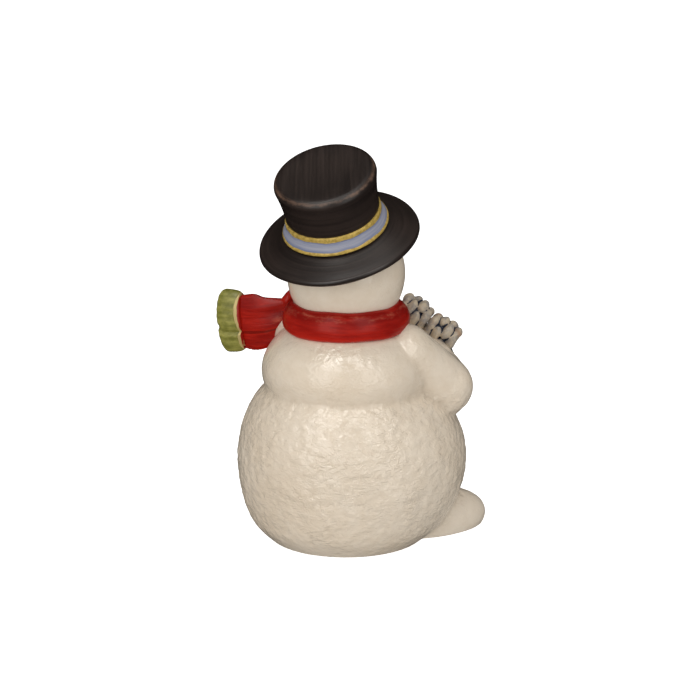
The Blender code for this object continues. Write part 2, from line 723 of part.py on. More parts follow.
def pine_cone(name, centre, way, material, cutters):
    """An egg with rows of fat scales, each row turned half a scale from the one before."""
    rings = []
    steps = CONE_ROWS * 3
    sides = CONE_SCALES * 3
    for step in range(steps + 1):
        share = 0.03 + 0.94 * step / steps
        row = int(share * CONE_ROWS * 0.999)
        inside_row = share * CONE_ROWS - row
        girth = CONE_RADIUS * math.sin(math.pi * share ** 0.8) ** 0.6
        girth *= 0.86 + 0.14 * math.sin(math.pi * inside_row)
        ring = []
        for side in range(sides):
            angle = 2.0 * math.pi * side / sides
            lobe = 1.0 + 0.07 * math.cos(CONE_SCALES * angle + math.pi * row)
            ring.append(Vector((girth * lobe * math.cos(angle), girth * lobe * math.sin(angle),
                                (share - 0.5) * CONE_LENGTH)))
        rings.append(ring)
    place = Matrix.Translation(centre) @ Vector(way).to_track_quat("Z", "X").to_matrix().to_4x4()
    made = lofted(name, [[place @ point for point in ring] for ring in rings], material)
    return cut(made, *cutters)


def frond_stations(side, line, grow):
    """Needles pressed as one leaf: widest in the middle, with a toothed edge."""
    path = spline([by_hand(side, offset) for offset in line], 3)
    stations = []
    for index, middle in enumerate(path):
        share = index / (len(path) - 1)
        girth = math.sin(math.pi * (0.2 + 0.7 * share)) * (0.85 + 0.15 * (index % 2))
        stations.append((*middle, FROND_WIDTH / 2 * girth + grow, FROND_THICKNESS / 2 * girth + grow))
    return stations


def bunch(bark, needle, holders):
    """Two pine cones and two fronds, pressed against the chest, the scarf and both arms."""
    flat = (0.0, 0.8, 0.6)
    upper = by_hand(RIGHT, CONE_UPPER)
    lower = by_hand(RIGHT, CONE_LOWER)
    run = Vector(lower) - Vector(upper)
    frond = as_cutter(swept("frond_cutter", frond_stations(RIGHT, LOWER_FROND, GAP), flat, None))
    pine_cone("pine_cone_upper", upper, run, bark, (*holders, frond))
    pine_cone("pine_cone_lower", lower, run, bark, (*holders, frond))
    cut(swept("fir_sprig_lower", frond_stations(RIGHT, LOWER_FROND, 0.0), flat, needle), *holders)
    cut(swept("fir_sprig_upper", frond_stations(LEFT, UPPER_FROND, 0.0), (1.0, 0.0, 0.0), needle), *holders)


def scarf(red, green, bodies, wrap, left_arm):
    """The wrap, its knot, and two tails that each end in a fat border.

    bodies are the cutters of the ball and the chest, wrap that of the wrap and left_arm those of that arm.
    """
    scarf_wrap(red)
    scarf_knot(red, (wrap, *bodies, *left_arm))
    knot = knot_cutter()
    side_tail = side_tail_stations()
    front_tail = front_tail_stations()
    cuts = (wrap, knot, *bodies, *left_arm)
    cut(swept("scarf_tail_side", side_tail, (0, 0, 1), red, 14, True, False), *cuts)
    cut(swept("scarf_tail_front", front_tail, (1, 0, 0), red, 14, True, False), *cuts)
    swept("scarf_cuff_side", cuff_stations(side_tail), (0, 0, 1), green, 14, False, True)
    cut(swept("scarf_cuff_front", cuff_stations(front_tail), (1, 0, 0), green, 14, False, True), *bodies)


def main():
    clear_scene()
    ivory = glaze("ivory_glaze", (0.78, 0.70, 0.58), 0.25)
    black = glaze("black_brown_satin", (0.030, 0.022, 0.020), 0.40)
    lavender = glaze("lavender_underglaze", (0.33, 0.35, 0.47), 0.40)
    red = glaze("red_underglaze", (0.50, 0.020, 0.015), 0.30)
    green = glaze("olive_underglaze", (0.24, 0.25, 0.06), 0.30)
    bark = glaze("cone_grey", (0.28, 0.25, 0.23), 0.45)
    needle = glaze("fir_green", (0.05, 0.08, 0.05), 0.45)
    coal = glaze("coal_black", (0.015, 0.015, 0.017), 0.25)
    orange = glaze("carrot_orange", (0.72, 0.22, 0.04), 0.30)

    ball = ball_cutter()
    trunk = chest_cutter()
    wrap = wrap_cutter()
    skull = head_cutter()
    arms = {side: arm_cutters(side) for side in (RIGHT, LEFT)}

    lower_body(ivory)
    chest(ivory)
    axis = hat_axis()
    cut(head(ivory), head_vent(axis))
    hat_crown(black, axis)
    hat_band(lavender, axis)
    hat_brim(black, axis)
    for name, side in (("right", RIGHT), ("left", LEFT)):
        arm("arm_" + name, side, ivory, (ball, trunk, wrap))
        foot("foot_" + name, side, ivory, ball)
    scarf(red, green, (ball, trunk), wrap, arms[LEFT])
    face(coal, orange, skull)
    buttons(coal, ball)
    bunch(bark, needle, (trunk, wrap, *arms[RIGHT], *arms[LEFT]))


main()
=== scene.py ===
"""Visual model of a glazed ceramic snowman with a tilted top hat, a blown-out scarf and pine cones.

Metres, +Z up. The figure stands on Z = 0 and faces -Y, so its right hand is towards -X. Places come from the
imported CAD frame, and the sizes of each sub-assembly are the fields of its class.
"""

import logging
import math
from collections.abc import Callable, Sequence
from dataclasses import dataclass
from enum import Enum
from typing import Any

import bpy
import numpy as np
from mathutils import Matrix, Vector, noise


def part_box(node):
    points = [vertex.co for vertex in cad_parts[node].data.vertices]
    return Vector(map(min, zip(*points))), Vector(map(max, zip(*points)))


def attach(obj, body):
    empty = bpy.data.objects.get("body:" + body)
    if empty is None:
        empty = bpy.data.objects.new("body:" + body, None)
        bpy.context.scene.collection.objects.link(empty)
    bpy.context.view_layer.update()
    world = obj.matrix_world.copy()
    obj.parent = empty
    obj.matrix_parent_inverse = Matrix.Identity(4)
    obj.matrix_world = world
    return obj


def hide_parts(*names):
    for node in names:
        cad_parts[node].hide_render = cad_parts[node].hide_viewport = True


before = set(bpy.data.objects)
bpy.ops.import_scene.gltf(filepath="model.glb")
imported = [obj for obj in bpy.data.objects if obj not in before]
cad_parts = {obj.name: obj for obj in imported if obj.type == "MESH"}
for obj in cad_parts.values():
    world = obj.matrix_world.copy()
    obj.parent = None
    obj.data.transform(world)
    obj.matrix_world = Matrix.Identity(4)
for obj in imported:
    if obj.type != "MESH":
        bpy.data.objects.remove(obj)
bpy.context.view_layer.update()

LOG = logging.getLogger("snowman")
MM = 0.001
BODY = "root"

Outline = list[tuple[float, float]]
Triple = tuple[float, float, float]
Relief = Callable[[np.ndarray, np.ndarray], tuple[np.ndarray, np.ndarray]]


class Side(Enum):
    """A side of the figure, by the sign of X."""

    RIGHT = -1
    LEFT = 1


# ---------------------------------------------------------------------------------------------------------
# Shader building
# ---------------------------------------------------------------------------------------------------------


class Value:
    """A number socket on which arithmetic adds Math nodes."""

    def __init__(self, paint: "Paint", socket: bpy.types.NodeSocket) -> None:
        """Wraps an output socket of the paint's node tree."""
        self.paint = paint
        self.socket = socket

    def math(self, operation: str, *others: Any, clamp: bool = False) -> "Value":
        """Adds a Math node.

        Args:
            operation: the Math node's operation.
            others: the operands after this one, numbers or Values.
            clamp: whether the result is held between 0 and 1.

        Returns:
            The result.
        """
        inputs = dict(enumerate((self, *others)))
        made = self.paint.node("ShaderNodeMath", {"operation": operation, "use_clamp": clamp}, inputs)
        return Value(self.paint, made.outputs[0])

    def __add__(self, other: Any) -> "Value":
        """The sum."""
        return self.math("ADD", other)

    __radd__ = __add__

    def __sub__(self, other: Any) -> "Value":
        """The difference."""
        return self.math("SUBTRACT", other)

    def __rsub__(self, other: float) -> "Value":
        """The reflected difference."""
        return self.math("MULTIPLY_ADD", -1.0, other)

    def __mul__(self, other: Any) -> "Value":
        """The product."""
        return self.math("MULTIPLY", other)

    __rmul__ = __mul__

    def step(self, low: float, high: float) -> "Value":
        """A smooth rise from 0 at low to 1 at high, or a fall if high is the smaller.

        Args:
            low: where the result is 0.
            high: where the result is 1.

        Returns:
            The result.
        """
        settings = {"interpolation_type": "SMOOTHSTEP"}
        ends = (low, high, 0.0, 1.0) if low < high else (high, low, 1.0, 0.0)
        inputs = {0: self, **{index + 1: end for index, end in enumerate(ends)}}
        made = self.paint.node("ShaderNodeMapRange", settings, inputs)
        return Value(self.paint, made.outputs[0])


class Paint:
    """A material under construction."""

    def __init__(self, name: str) -> None:
        """Starts an empty node material.

        Args:
            name: the material's name.
        """
        self.material = bpy.data.materials.new(name)
        self.material.use_nodes = True
        self.tree = self.material.node_tree
        self.tree.nodes.clear()

    def node(
        self, kind: str, settings: dict[str, Any] | None = None, inputs: dict[Any, Any] | None = None
    ) -> bpy.types.Node:
        """Adds a node.

        Args:
            kind: the node's type.
            settings: its properties, set first.
            inputs: values, sockets or Values by socket name or index.

        Returns:
            The node.
        """
        made = self.tree.nodes.new(kind)
        for key, setting in (settings or {}).items():
            setattr(made, key, setting)
        for key, value in (inputs or {}).items():
            target = made.inputs[key]
            if isinstance(value, Value):
                value = value.socket
            if isinstance(value, bpy.types.NodeSocket):
                self.tree.links.new(value, target)
            elif isinstance(value, (tuple, list)) and len(value) == 3 and target.type == "RGBA":
                target.default_value = (*value, 1.0)
            else:
                target.default_value = value
        return made

    def place(self) -> bpy.types.NodeSocket:
        """Object coordinates."""
        return self.node("ShaderNodeTexCoord").outputs["Object"]

    def stored(self, name: str) -> bpy.types.NodeSocket:
        """A vector that the mesh stores for each point."""
        return self.node("ShaderNodeAttribute", {"attribute_name": name}).outputs["Vector"]

    def level(self, name: str) -> Value:
        """A number that the mesh stores for each point."""
        return Value(self, self.node("ShaderNodeAttribute", {"attribute_name": name}).outputs["Fac"])

    def stretched(self, vector: bpy.types.NodeSocket, scale: Triple) -> bpy.types.NodeSocket:
        """The vector with each part multiplied."""
        return self.node("ShaderNodeMapping", None, {"Vector": vector, "Scale": scale}).outputs[0]

    def parts(self, vector: bpy.types.NodeSocket) -> tuple[Value, Value, Value]:
        """The three numbers of a vector."""
        made = self.node("ShaderNodeSeparateXYZ", None, {0: vector})
        return Value(self, made.outputs[0]), Value(self, made.outputs[1]), Value(self, made.outputs[2])

    def noise(
        self, vector: bpy.types.NodeSocket, scale: float,
        detail: float = 3.0, rough: float = 0.5, warp: float = 0.0,
    ) -> Value:
        """Adds a noise texture.

        Args:
            vector: where it is read.
            scale: its features are about 1/scale across.
            detail: how many finer layers it has.
            rough: the strength of each finer layer.
            warp: how far it bends itself.

        Returns:
            A number of about 0.2 to 0.8.
        """
        inputs = {"Vector": vector, "Scale": scale, "Detail": detail, "Roughness": rough, "Distortion": warp}
        return Value(self, self.node("ShaderNodeTexNoise", None, inputs).outputs[0])

    def brushed(
        self, strokes: bpy.types.NodeSocket, scale: Triple, detail: float, rough: float = 0.5
    ) -> Value:
        """Noise drawn out along the brush strokes, with features about 1/scale across each way."""
        return self.noise(self.stretched(strokes, scale), 1.0, detail, rough)

    def cells(self, vector: bpy.types.NodeSocket, scale: float) -> Value:
        """Distance from the middle of soft cells about 1/scale across."""
        inputs = {"Vector": vector, "Scale": scale, "Smoothness": 0.6}
        made = self.node("ShaderNodeTexVoronoi", {"feature": "SMOOTH_F1"}, inputs)
        return Value(self, made.outputs["Distance"])

    def blend(self, share: Any, first: Any, second: Any) -> bpy.types.NodeSocket:
        """A colour between two, by the share of the second."""
        made = self.node("ShaderNodeMix", {"data_type": "RGBA"}, {0: share, 6: first, 7: second})
        return made.outputs[2]

    def bump(self, height: Value, depth: float) -> bpy.types.NodeSocket:
        """A normal from a height of 0 to 1 over this depth in metres."""
        inputs = {"Strength": 1.0, "Distance": depth, "Height": height}
        return self.node("ShaderNodeBump", None, inputs).outputs[0]

    def finish(self, inputs: dict[str, Any]) -> bpy.types.Material:
        """Closes the tree with a Principled shader.

        Args:
            inputs: the shader's sockets.

        Returns:
            The material.
        """
        shader = self.node("ShaderNodeBsdfPrincipled", None, inputs)
        self.node("ShaderNodeOutputMaterial", None, {"Surface": shader.outputs[0]})
        return self.material


# ---------------------------------------------------------------------------------------------------------
# Finishes
# ---------------------------------------------------------------------------------------------------------


@dataclass(frozen=True)
class CreamGlaze:
    """Warm ivory glaze over clay dabbed while wet: it thins on ridges, and its hollows are darker as pooled
    glaze and painted shade.
    """

    light: Triple = (0.800, 0.706, 0.588)
    warm: Triple = (0.705, 0.590, 0.455)
    pooled_glaze_and_shade: Triple = (0.470, 0.375, 0.265)
    dab_depth: float = 0.95 * MM
    grain_depth: float = 0.05 * MM

    def make(self) -> bpy.types.Material:
        """Builds the material."""
        paint = Paint("cream_glaze")
        place = paint.place()
        clouds = paint.noise(place, 26.0, 2.0)
        mottle = paint.noise(place, 210.0, 4.0, 0.6, 0.6)
        tone = (clouds * 0.7 + mottle * 0.5).step(0.35, 0.85)
        colour = paint.blend(tone * 0.75, self.light, self.warm)
        # Painted shade: the hollow level darkens the creases and recesses of the body and the bottom of the
        # head; in the hollows it is partly also pooled glaze.
        hollow = paint.level("hollow").math("MULTIPLY", 1.0, clamp=True)
        colour = paint.blend(hollow * 0.62, colour, self.pooled_glaze_and_shade)
        dabbing = paint.level("dabbing")
        smear = paint.noise(paint.stretched(place, (1.0, 1.0, 1.7)), 270.0, 2.0, 0.5, 1.4)
        pits = paint.cells(place, 190.0).step(0.10, 0.42)
        patch = paint.noise(place, 55.0, 1.0).step(0.38, 0.62)
        bent = paint.noise(paint.stretched(place, (1.0, 1.0, 1.35)), 300.0, 1.0, 0.4, 0.8)
        wrinkles = (bent - 0.5).math("ABSOLUTE").step(0.0, 0.11)
        relief = smear * 0.75 + pits * 0.30 + wrinkles * 0.10
        relief = relief * (0.12 + dabbing * 0.88) * (0.55 + patch * 0.45)
        coarse = paint.bump(relief, self.dab_depth)
        fine = paint.noise(place, 900.0, 2.0)
        normal = paint.node(
            "ShaderNodeBump", None, {"Distance": self.grain_depth, "Height": fine, "Normal": coarse}
        ).outputs[0]
        rough = 0.10 + mottle * 0.09 + hollow * 0.10
        return paint.finish({
            "Base Color": colour, "Roughness": rough, "Normal": normal, "Specular IOR Level": 1.0,
            "Coat Weight": 0.12, "Coat Roughness": 0.12,
        })


@dataclass(frozen=True)
class HatPaint:
    """Black-brown satin brushed round the hat, rubbed through to brown along the worn edges."""

    dark: Triple = (0.0150, 0.0098, 0.0082)
    light: Triple = (0.041, 0.027, 0.022)
    worn: Triple = (0.150, 0.082, 0.050)

    def make(self) -> bpy.types.Material:
        """Builds the material."""
        paint = Paint("black_brown_satin")
        strokes = paint.stored("stroke")
        streaks = paint.brushed(strokes, (18.0, 18.0, 700.0), 4.0, 0.6)
        clouds = paint.noise(paint.place(), 45.0, 2.0)
        tone = (streaks * 0.8 + clouds * 0.45).step(0.42, 0.92)
        colour = paint.blend(tone, self.dark, self.light)
        wear_and_painted_light = paint.level("wear_and_painted_light")
        chips = paint.brushed(strokes, (420.0, 420.0, 420.0), 4.0, 0.75)
        rub = paint.noise(paint.place(), 90.0, 2.0)
        worn = (wear_and_painted_light * 0.8 + chips * 0.95 + rub * 0.75).step(1.28, 1.76)
        colour = paint.blend(worn * 0.9, colour, self.worn)
        rough = 0.29 + streaks * 0.16 + worn * 0.15
        normal = paint.bump(streaks - worn * 0.4, 0.07 * MM)
        return paint.finish({
            "Base Color": colour, "Roughness": rough, "Normal": normal, "Specular IOR Level": 0.70,
        })


@dataclass(frozen=True)
class BandPaint:
    """Lavender blue ribbon, brushed lengthways, with a hand-painted gold line along each edge."""

    height: float
    gold_width: float = 1.5 * MM
    pale: Triple = (0.340, 0.350, 0.420)
    blue: Triple = (0.150, 0.180, 0.300)
    gold: Triple = (0.640, 0.450, 0.110)
    dull_gold: Triple = (0.42, 0.285, 0.060)

    def make(self) -> bpy.types.Material:
        """Builds the material."""
        paint = Paint("lavender_band")
        strokes = paint.stored("stroke")
        up = paint.parts(strokes)[2]
        shake = (paint.brushed(strokes, (120.0, 120.0, 60.0), 2.0) - 0.5) * (1.1 * MM)
        streaks = paint.brushed(strokes, (30.0, 30.0, 1100.0), 4.0, 0.65)
        middle = self.height / 2
        edge = (up - middle + shake).math("ABSOLUTE")
        line = middle - self.gold_width
        shade = edge.step(line - 1.5 * MM, line) * 0.75 + streaks.step(0.62, 0.40) * 0.4
        colour = paint.blend(shade.math("MULTIPLY", 1.0, clamp=True), self.pale, self.blue)
        golden = edge.step(line - 0.08 * MM, line + 0.08 * MM)
        dull = paint.noise(strokes, 700.0, 2.0).step(0.35, 0.70)
        leaf = paint.blend(dull, self.gold, self.dull_gold)
        colour = paint.blend(golden, colour, leaf)
        rough = 0.44 - golden * 0.10 + streaks * 0.12
        normal = paint.bump(streaks * 0.4 + golden * 0.8, 0.12 * MM)
        return paint.finish({
            "Base Color": colour, "Roughness": rough, "Metallic": golden * 0.20, "Normal": normal,
        })


@dataclass(frozen=True)
class ScarfPaint:
    """Red brushed on lengthways, with painted shade near black along the tails' fold, and dry-brushed to a
    pale pink along the edges.
    """

    red: Triple = (0.440, 0.012, 0.004)
    deep: Triple = (0.240, 0.0030, 0.0010)
    pale: Triple = (0.620, 0.170, 0.100)
    fold_shade: Triple = (0.060, 0.002, 0.001)

    def make(self) -> bpy.types.Material:
        """Builds the material."""
        paint = Paint("brushed_red")
        strokes = paint.stored("stroke")
        streaks = paint.brushed(strokes, (85.0, 85.0, 620.0), 4.0, 0.6)
        washes = paint.brushed(strokes, (55.0, 55.0, 150.0), 2.0)
        wear_and_painted_light = paint.level("wear_and_painted_light")
        tone = (streaks * 0.75 + washes * 0.5 - wear_and_painted_light * 0.22).step(0.92, 0.38)
        colour = paint.blend(tone, self.red, self.deep)
        scuffs = paint.brushed(strokes, (160.0, 160.0, 420.0), 4.0, 0.7)
        # Painted shade: near black along the tails' fold, where the level dips far below zero.
        colour = paint.blend(wear_and_painted_light.step(-0.9, -1.8) * 0.55, colour, self.fold_shade)
        rubbed = (wear_and_painted_light * 0.42 + scuffs * 0.75 + washes * 0.25).step(0.74, 1.04)
        colour = paint.blend(rubbed * 0.72, colour, self.pale)
        rough = 0.24 + streaks * 0.18 + rubbed * 0.12
        normal = paint.bump(streaks * 0.7 + washes * 0.3, 0.28 * MM)
        return paint.finish({
            "Base Color": colour, "Roughness": rough, "Normal": normal, "Specular IOR Level": 0.20,
            "Coat Weight": 0.10, "Coat Roughness": 0.12,
        })


@dataclass(frozen=True)
class CuffPaint:
    """Olive green on fat ribs, with painted shade in the valleys and painted highlight in cream on the
    crests, and a gold line at the seam.
    """

    olive: Triple = (0.350, 0.330, 0.075)
    dark: Triple = (0.165, 0.165, 0.024)
    cream: Triple = (0.560, 0.520, 0.330)
    gold: Triple = (0.680, 0.540, 0.230)
    cloth: Triple = (0.370, 0.010, 0.004)

    def make(self) -> bpy.types.Material:
        """Builds the material."""
        paint = Paint("olive_cuff")
        strokes = paint.stored("stroke")
        along = paint.parts(strokes)[0]
        crest = paint.level("wear_and_painted_light")
        streaks = paint.brushed(strokes, (260.0, 260.0, 520.0), 4.0, 0.6)
        # Painted shade in the valleys between the ribs, and painted highlight in cream on their crests.
        tone = (streaks * 0.9 + crest * 0.22).step(0.74, 0.30)
        colour = paint.blend(tone, self.olive, self.dark)
        crest_highlight = (crest * 0.35 + streaks * 0.85).step(0.66, 0.98)
        colour = paint.blend(crest_highlight * 0.70, colour, self.cream)
        shake = (paint.brushed(strokes, (0.0, 60.0, 190.0), 2.0) - 0.5) * (1.1 * MM)
        past_seam = along + shake - paint.level("seam")
        golden = past_seam.step(0.12 * MM, -0.12 * MM)
        colour = paint.blend(golden, colour, self.gold)
        cloth = (past_seam + paint.level("line")).step(0.12 * MM, -0.12 * MM)
        colour = paint.blend(cloth, colour, self.cloth)
        golden = golden - cloth
        normal = paint.bump(streaks + golden * 0.5, 0.20 * MM)
        return paint.finish({
            "Base Color": colour, "Roughness": 0.30 + streaks * 0.16, "Metallic": golden * 0.40,
            "Normal": normal, "Coat Weight": 0.25, "Coat Roughness": 0.20,
        })


@dataclass(frozen=True)
class ConePaint:
    """Grey-tan scales with navy-black in the gaps, a navy wash deepened by painted shade, and a hint of
    orange-brown.
    """

    tan: Triple = (0.560, 0.470, 0.345)
    grey: Triple = (0.310, 0.284, 0.258)
    gap: Triple = (0.016, 0.022, 0.045)
    rust: Triple = (0.300, 0.130, 0.055)

    def make(self) -> bpy.types.Material:
        """Builds the material."""
        paint = Paint("cone_wash")
        place = paint.place()
        blotch = paint.noise(place, 260.0, 3.0, 0.6)
        colour = paint.blend(blotch.step(0.36, 0.66), self.tan, self.grey)
        rust = paint.noise(place, 120.0, 1.0).step(0.56, 0.72)
        colour = paint.blend(rust * 0.6, colour, self.rust)
        # Painted shade: navy-black deep in the gaps between the scales, over a navy wash.
        hollow = paint.level("hollow")
        gap_shade = (hollow * 1.35 + blotch * 0.45).step(0.42, 0.86)
        colour = paint.blend(gap_shade, colour, self.gap)
        normal = paint.bump(paint.noise(place, 800.0, 3.0), 0.12 * MM)
        return paint.finish({
            "Base Color": colour, "Roughness": 0.36 + blotch * 0.2, "Normal": normal, "Coat Weight": 0.2,
            "Coat Roughness": 0.2,
        })


@dataclass(frozen=True)
class FirPaint:
    """Dark blue-green needles, greyer in random patches."""

    green: Triple = (0.030, 0.052, 0.026)
    grey: Triple = (0.085, 0.105, 0.070)

    def make(self) -> bpy.types.Material:
        """Builds the material."""
        paint = Paint("fir_green")
        place = paint.place()
        mottle = paint.noise(place, 420.0, 3.0, 0.6)
        colour = paint.blend(mottle.step(0.40, 0.70), self.green, self.grey)
        normal = paint.bump(mottle, 0.10 * MM)
        return paint.finish({"Base Color": colour, "Roughness": 0.38 + mottle * 0.2, "Normal": normal})


@dataclass(frozen=True)
class PebblePaint:
    """A glossy glazed pebble or carrot in one hue, uneven in tone."""

    name: str
    main: Triple
    other: Triple

    def make(self) -> bpy.types.Material:
        """Builds the material."""
        paint = Paint(self.name)
        place = paint.place()
        mottle = paint.noise(place, 330.0, 3.0, 0.6)
        colour = paint.blend(mottle.step(0.38, 0.70), self.main, self.other)
        normal = paint.bump(mottle, 0.16 * MM)
        return paint.finish({
            "Base Color": colour, "Roughness": 0.20 + mottle * 0.16, "Normal": normal, "Coat Weight": 0.3,
            "Coat Roughness": 0.12,
        })


@dataclass(frozen=True)
class FloorPaint:
    """Pale matt studio floor, lit a little from below so that it stays even into the distance."""

    tone: Triple = (0.90, 0.90, 0.90)
    glow: float = 0.80

    def make(self) -> bpy.types.Material:
        """Builds the material."""
        return Paint("pale_floor").finish({
            "Base Color": self.tone, "Roughness": 0.9, "Specular IOR Level": 0.1,
            "Emission Color": (1.0, 1.0, 1.0), "Emission Strength": self.glow,
        })


# ---------------------------------------------------------------------------------------------------------
# Modelling
# ---------------------------------------------------------------------------------------------------------


def deselect() -> None:
    """Leaves edit mode with nothing selected."""
    if bpy.context.object and bpy.context.object.mode != "OBJECT":
        bpy.ops.object.mode_set(mode="OBJECT")
    bpy.ops.object.select_all(action="DESELECT")


def pick(piece: bpy.types.Object) -> None:
    """Selects one object alone and makes it the active one."""
    deselect()
    piece.select_set(True)
    bpy.context.view_layer.objects.active = piece


def active(name: str) -> bpy.types.Object:
    """Names the object that an operator has just made, and returns it.

    Args:
        name: the new name.

    Returns:
        The object.
    """
    made = bpy.context.object
    made.name = name
    made.data.name = name
    return made


def settle(piece: bpy.types.Object) -> bpy.types.Object:
    """Moves the piece's place into its mesh, so that its object sits at the origin."""
    piece.data.transform(piece.matrix_basis)
    piece.matrix_basis = Matrix.Identity(4)
    return piece


def apply(piece: bpy.types.Object, kind: str, **settings: Any) -> bpy.types.Object:
    """Adds a modifier and applies it.

    Args:
        piece: the object.
        kind: the modifier's type.
        settings: the modifier's properties.

    Returns:
        The object.
    """
    pick(piece)
    modifier = piece.modifiers.new(kind.lower(), kind)
    for key, value in settings.items():
        setattr(modifier, key, value)
    bpy.ops.object.modifier_apply(modifier=modifier.name)
    return piece


def points(piece: bpy.types.Object) -> np.ndarray:
    """The piece's vertices, one row each."""
    flat = np.empty(len(piece.data.vertices) * 3)
    piece.data.vertices.foreach_get("co", flat)
    return flat.reshape(-1, 3)


def move_points(piece: bpy.types.Object, places: np.ndarray) -> None:
    """Puts the piece's vertices at these places."""
    piece.data.vertices.foreach_set("co", places.ravel())
    piece.data.update()


def normals(piece: bpy.types.Object) -> np.ndarray:
    """The piece's vertex normals, one row each."""
    flat = np.empty(len(piece.data.vertices) * 3)
    piece.data.vertex_normals.foreach_get("vector", flat)
    return flat.reshape(-1, 3)


def store(piece: bpy.types.Object, name: str, values: np.ndarray) -> None:
    """Stores a value for each vertex, for the paints to read.

    Args:
        piece: the object.
        name: the attribute's name.
        values: a number, or a row of three, for each vertex.
    """
    kind, key = ("FLOAT", "value") if values.ndim == 1 else ("FLOAT_VECTOR", "vector")
    layer = piece.data.attributes.new(name, kind, "POINT")
    layer.data.foreach_set(key, values.astype(np.float32).ravel())


def loaded(piece: bpy.types.Object, name: str) -> np.ndarray:
    """The numbers that the piece stores for its vertices."""
    values = np.empty(len(piece.data.vertices))
    piece.data.attributes[name].data.foreach_get("value", values)
    return values


def field_noise(places: np.ndarray, size: float, seed: float = 0.0) -> np.ndarray:
    """Smooth noise.

    Args:
        places: where it is read, one row each.
        size: how large its features are, in metres.
        seed: shifts the pattern, so that two readings differ.

    Returns:
        A number of -1 to 1 for each row.
    """
    shift = Vector((seed, seed * 0.37, -seed))
    return np.array([noise.noise(Vector(place) / size + shift) for place in places])


def off_axis(places: np.ndarray) -> np.ndarray:
    """How far each row lies from the Z axis."""
    return np.hypot(places[:, 0], places[:, 1])


def smooth_rise(low: float, high: float, values: np.ndarray) -> np.ndarray:
    """A smooth rise from 0 at low to 1 at high."""
    share = np.clip((values - low) / (high - low), 0.0, 1.0)
    return share * share * (3.0 - 2.0 * share)


def hollows(piece: bpy.types.Object, rounds: int, gain: float) -> np.ndarray:
    """How far each vertex lies in a recess.

    Args:
        piece: the object.
        rounds: how many times the measure is spread to neighbours.
        gain: multiplies the result, which is about 1 in a deep recess.

    Returns:
        A number for each vertex, 0 on open ground.
    """
    edges = np.empty(len(piece.data.edges) * 2, dtype=np.int64)
    piece.data.edges.foreach_get("vertices", edges)
    first, second = edges.reshape(-1, 2).T
    places = points(piece)
    count = np.bincount(edges, minlength=len(places)).clip(1)

    def spread(values: np.ndarray) -> np.ndarray:
        """The mean over each vertex's neighbours.

        Args:
            values: a number or a row for each vertex.

        Returns:
            The mean for each vertex.
        """
        total = np.zeros_like(values)
        np.add.at(total, first, values[second])
        np.add.at(total, second, values[first])
        return total / (count[:, None] if values.ndim > 1 else count)

    level = places
    for _ in range(rounds):
        level = spread(level)
    dip = np.einsum("ij,ij->i", level - places, normals(piece))
    for _ in range(2):
        dip = spread(dip)
    return np.clip(dip * gain, 0.0, 1.0)


def smoothed(outline: Outline, per_span: int) -> Outline:
    """Runs a smooth curve through points.

    Args:
        outline: the points, with any count of numbers each.
        per_span: points made for each gap between two given ones.

    Returns:
        The dense outline, ends included.
    """
    padded = [outline[0], *outline, outline[-1]]
    dense: Outline = []
    for a, b, c, d in zip(padded, padded[1:], padded[2:], padded[3:]):
        for step in range(per_span):
            t = step / per_span
            dense.append(tuple(
                0.5 * (
                    2 * q + (r - p) * t + (2 * p - 5 * q + 4 * r - s) * t * t
                    + (3 * q - p - 3 * r + s) * t**3
                )
                for p, q, r, s in zip(a, b, c, d)
            ))
    return [*dense, outline[-1]]


def turned(name: str, outline: Outline, segments: int = 128) -> bpy.types.Object:
    """Turns an outline about Z: a circle that is extruded and scaled from point to point.

    Args:
        name: the piece's name.
        outline: (radius, height) pairs. An end of radius 0 closes at a pole; otherwise the ends are bridged.
        segments: corners of the circle.

    Returns:
        The object, with a stored vector "stroke": round the axis in x and y, along the outline in z.
    """
    pole = 0.02 * MM
    radii = [max(radius, pole) for radius, _ in outline]
    heights = [height for _, height in outline]
    deselect()
    bpy.ops.mesh.primitive_circle_add(vertices=segments, radius=radii[0], location=(0.0, 0.0, heights[0]))
    piece = settle(active(name))
    bpy.ops.object.mode_set(mode="EDIT")
    bpy.ops.mesh.select_mode(type="EDGE")
    bpy.ops.mesh.select_all(action="SELECT")
    for index in range(1, len(outline)):
        rise = heights[index] - heights[index - 1]
        bpy.ops.mesh.extrude_edges_move(TRANSFORM_OT_translate={"value": (0.0, 0.0, rise)})
        share = radii[index] / radii[index - 1]
        bpy.ops.transform.resize(value=(share, share, 1.0), center_override=(0.0, 0.0, heights[index]))
    open_ends = outline[0][0] > 0.0
    bpy.ops.mesh.select_all(action="DESELECT")
    bpy.ops.mesh.select_mode(type="VERT")
    if open_ends:
        bpy.ops.mesh.select_non_manifold(extend=False)
        bpy.ops.mesh.bridge_edge_loops()
    else:
        bpy.ops.mesh.select_all(action="SELECT")
        bpy.ops.mesh.remove_doubles(threshold=pole * 1.5)
    bpy.ops.mesh.select_all(action="SELECT")
    bpy.ops.mesh.normals_make_consistent(inside=False)
    bpy.ops.object.mode_set(mode="OBJECT")
    bpy.ops.object.shade_smooth()
    line = np.array(outline)
    store(piece, "stroke", stroke_round(points(piece), line))
    return piece


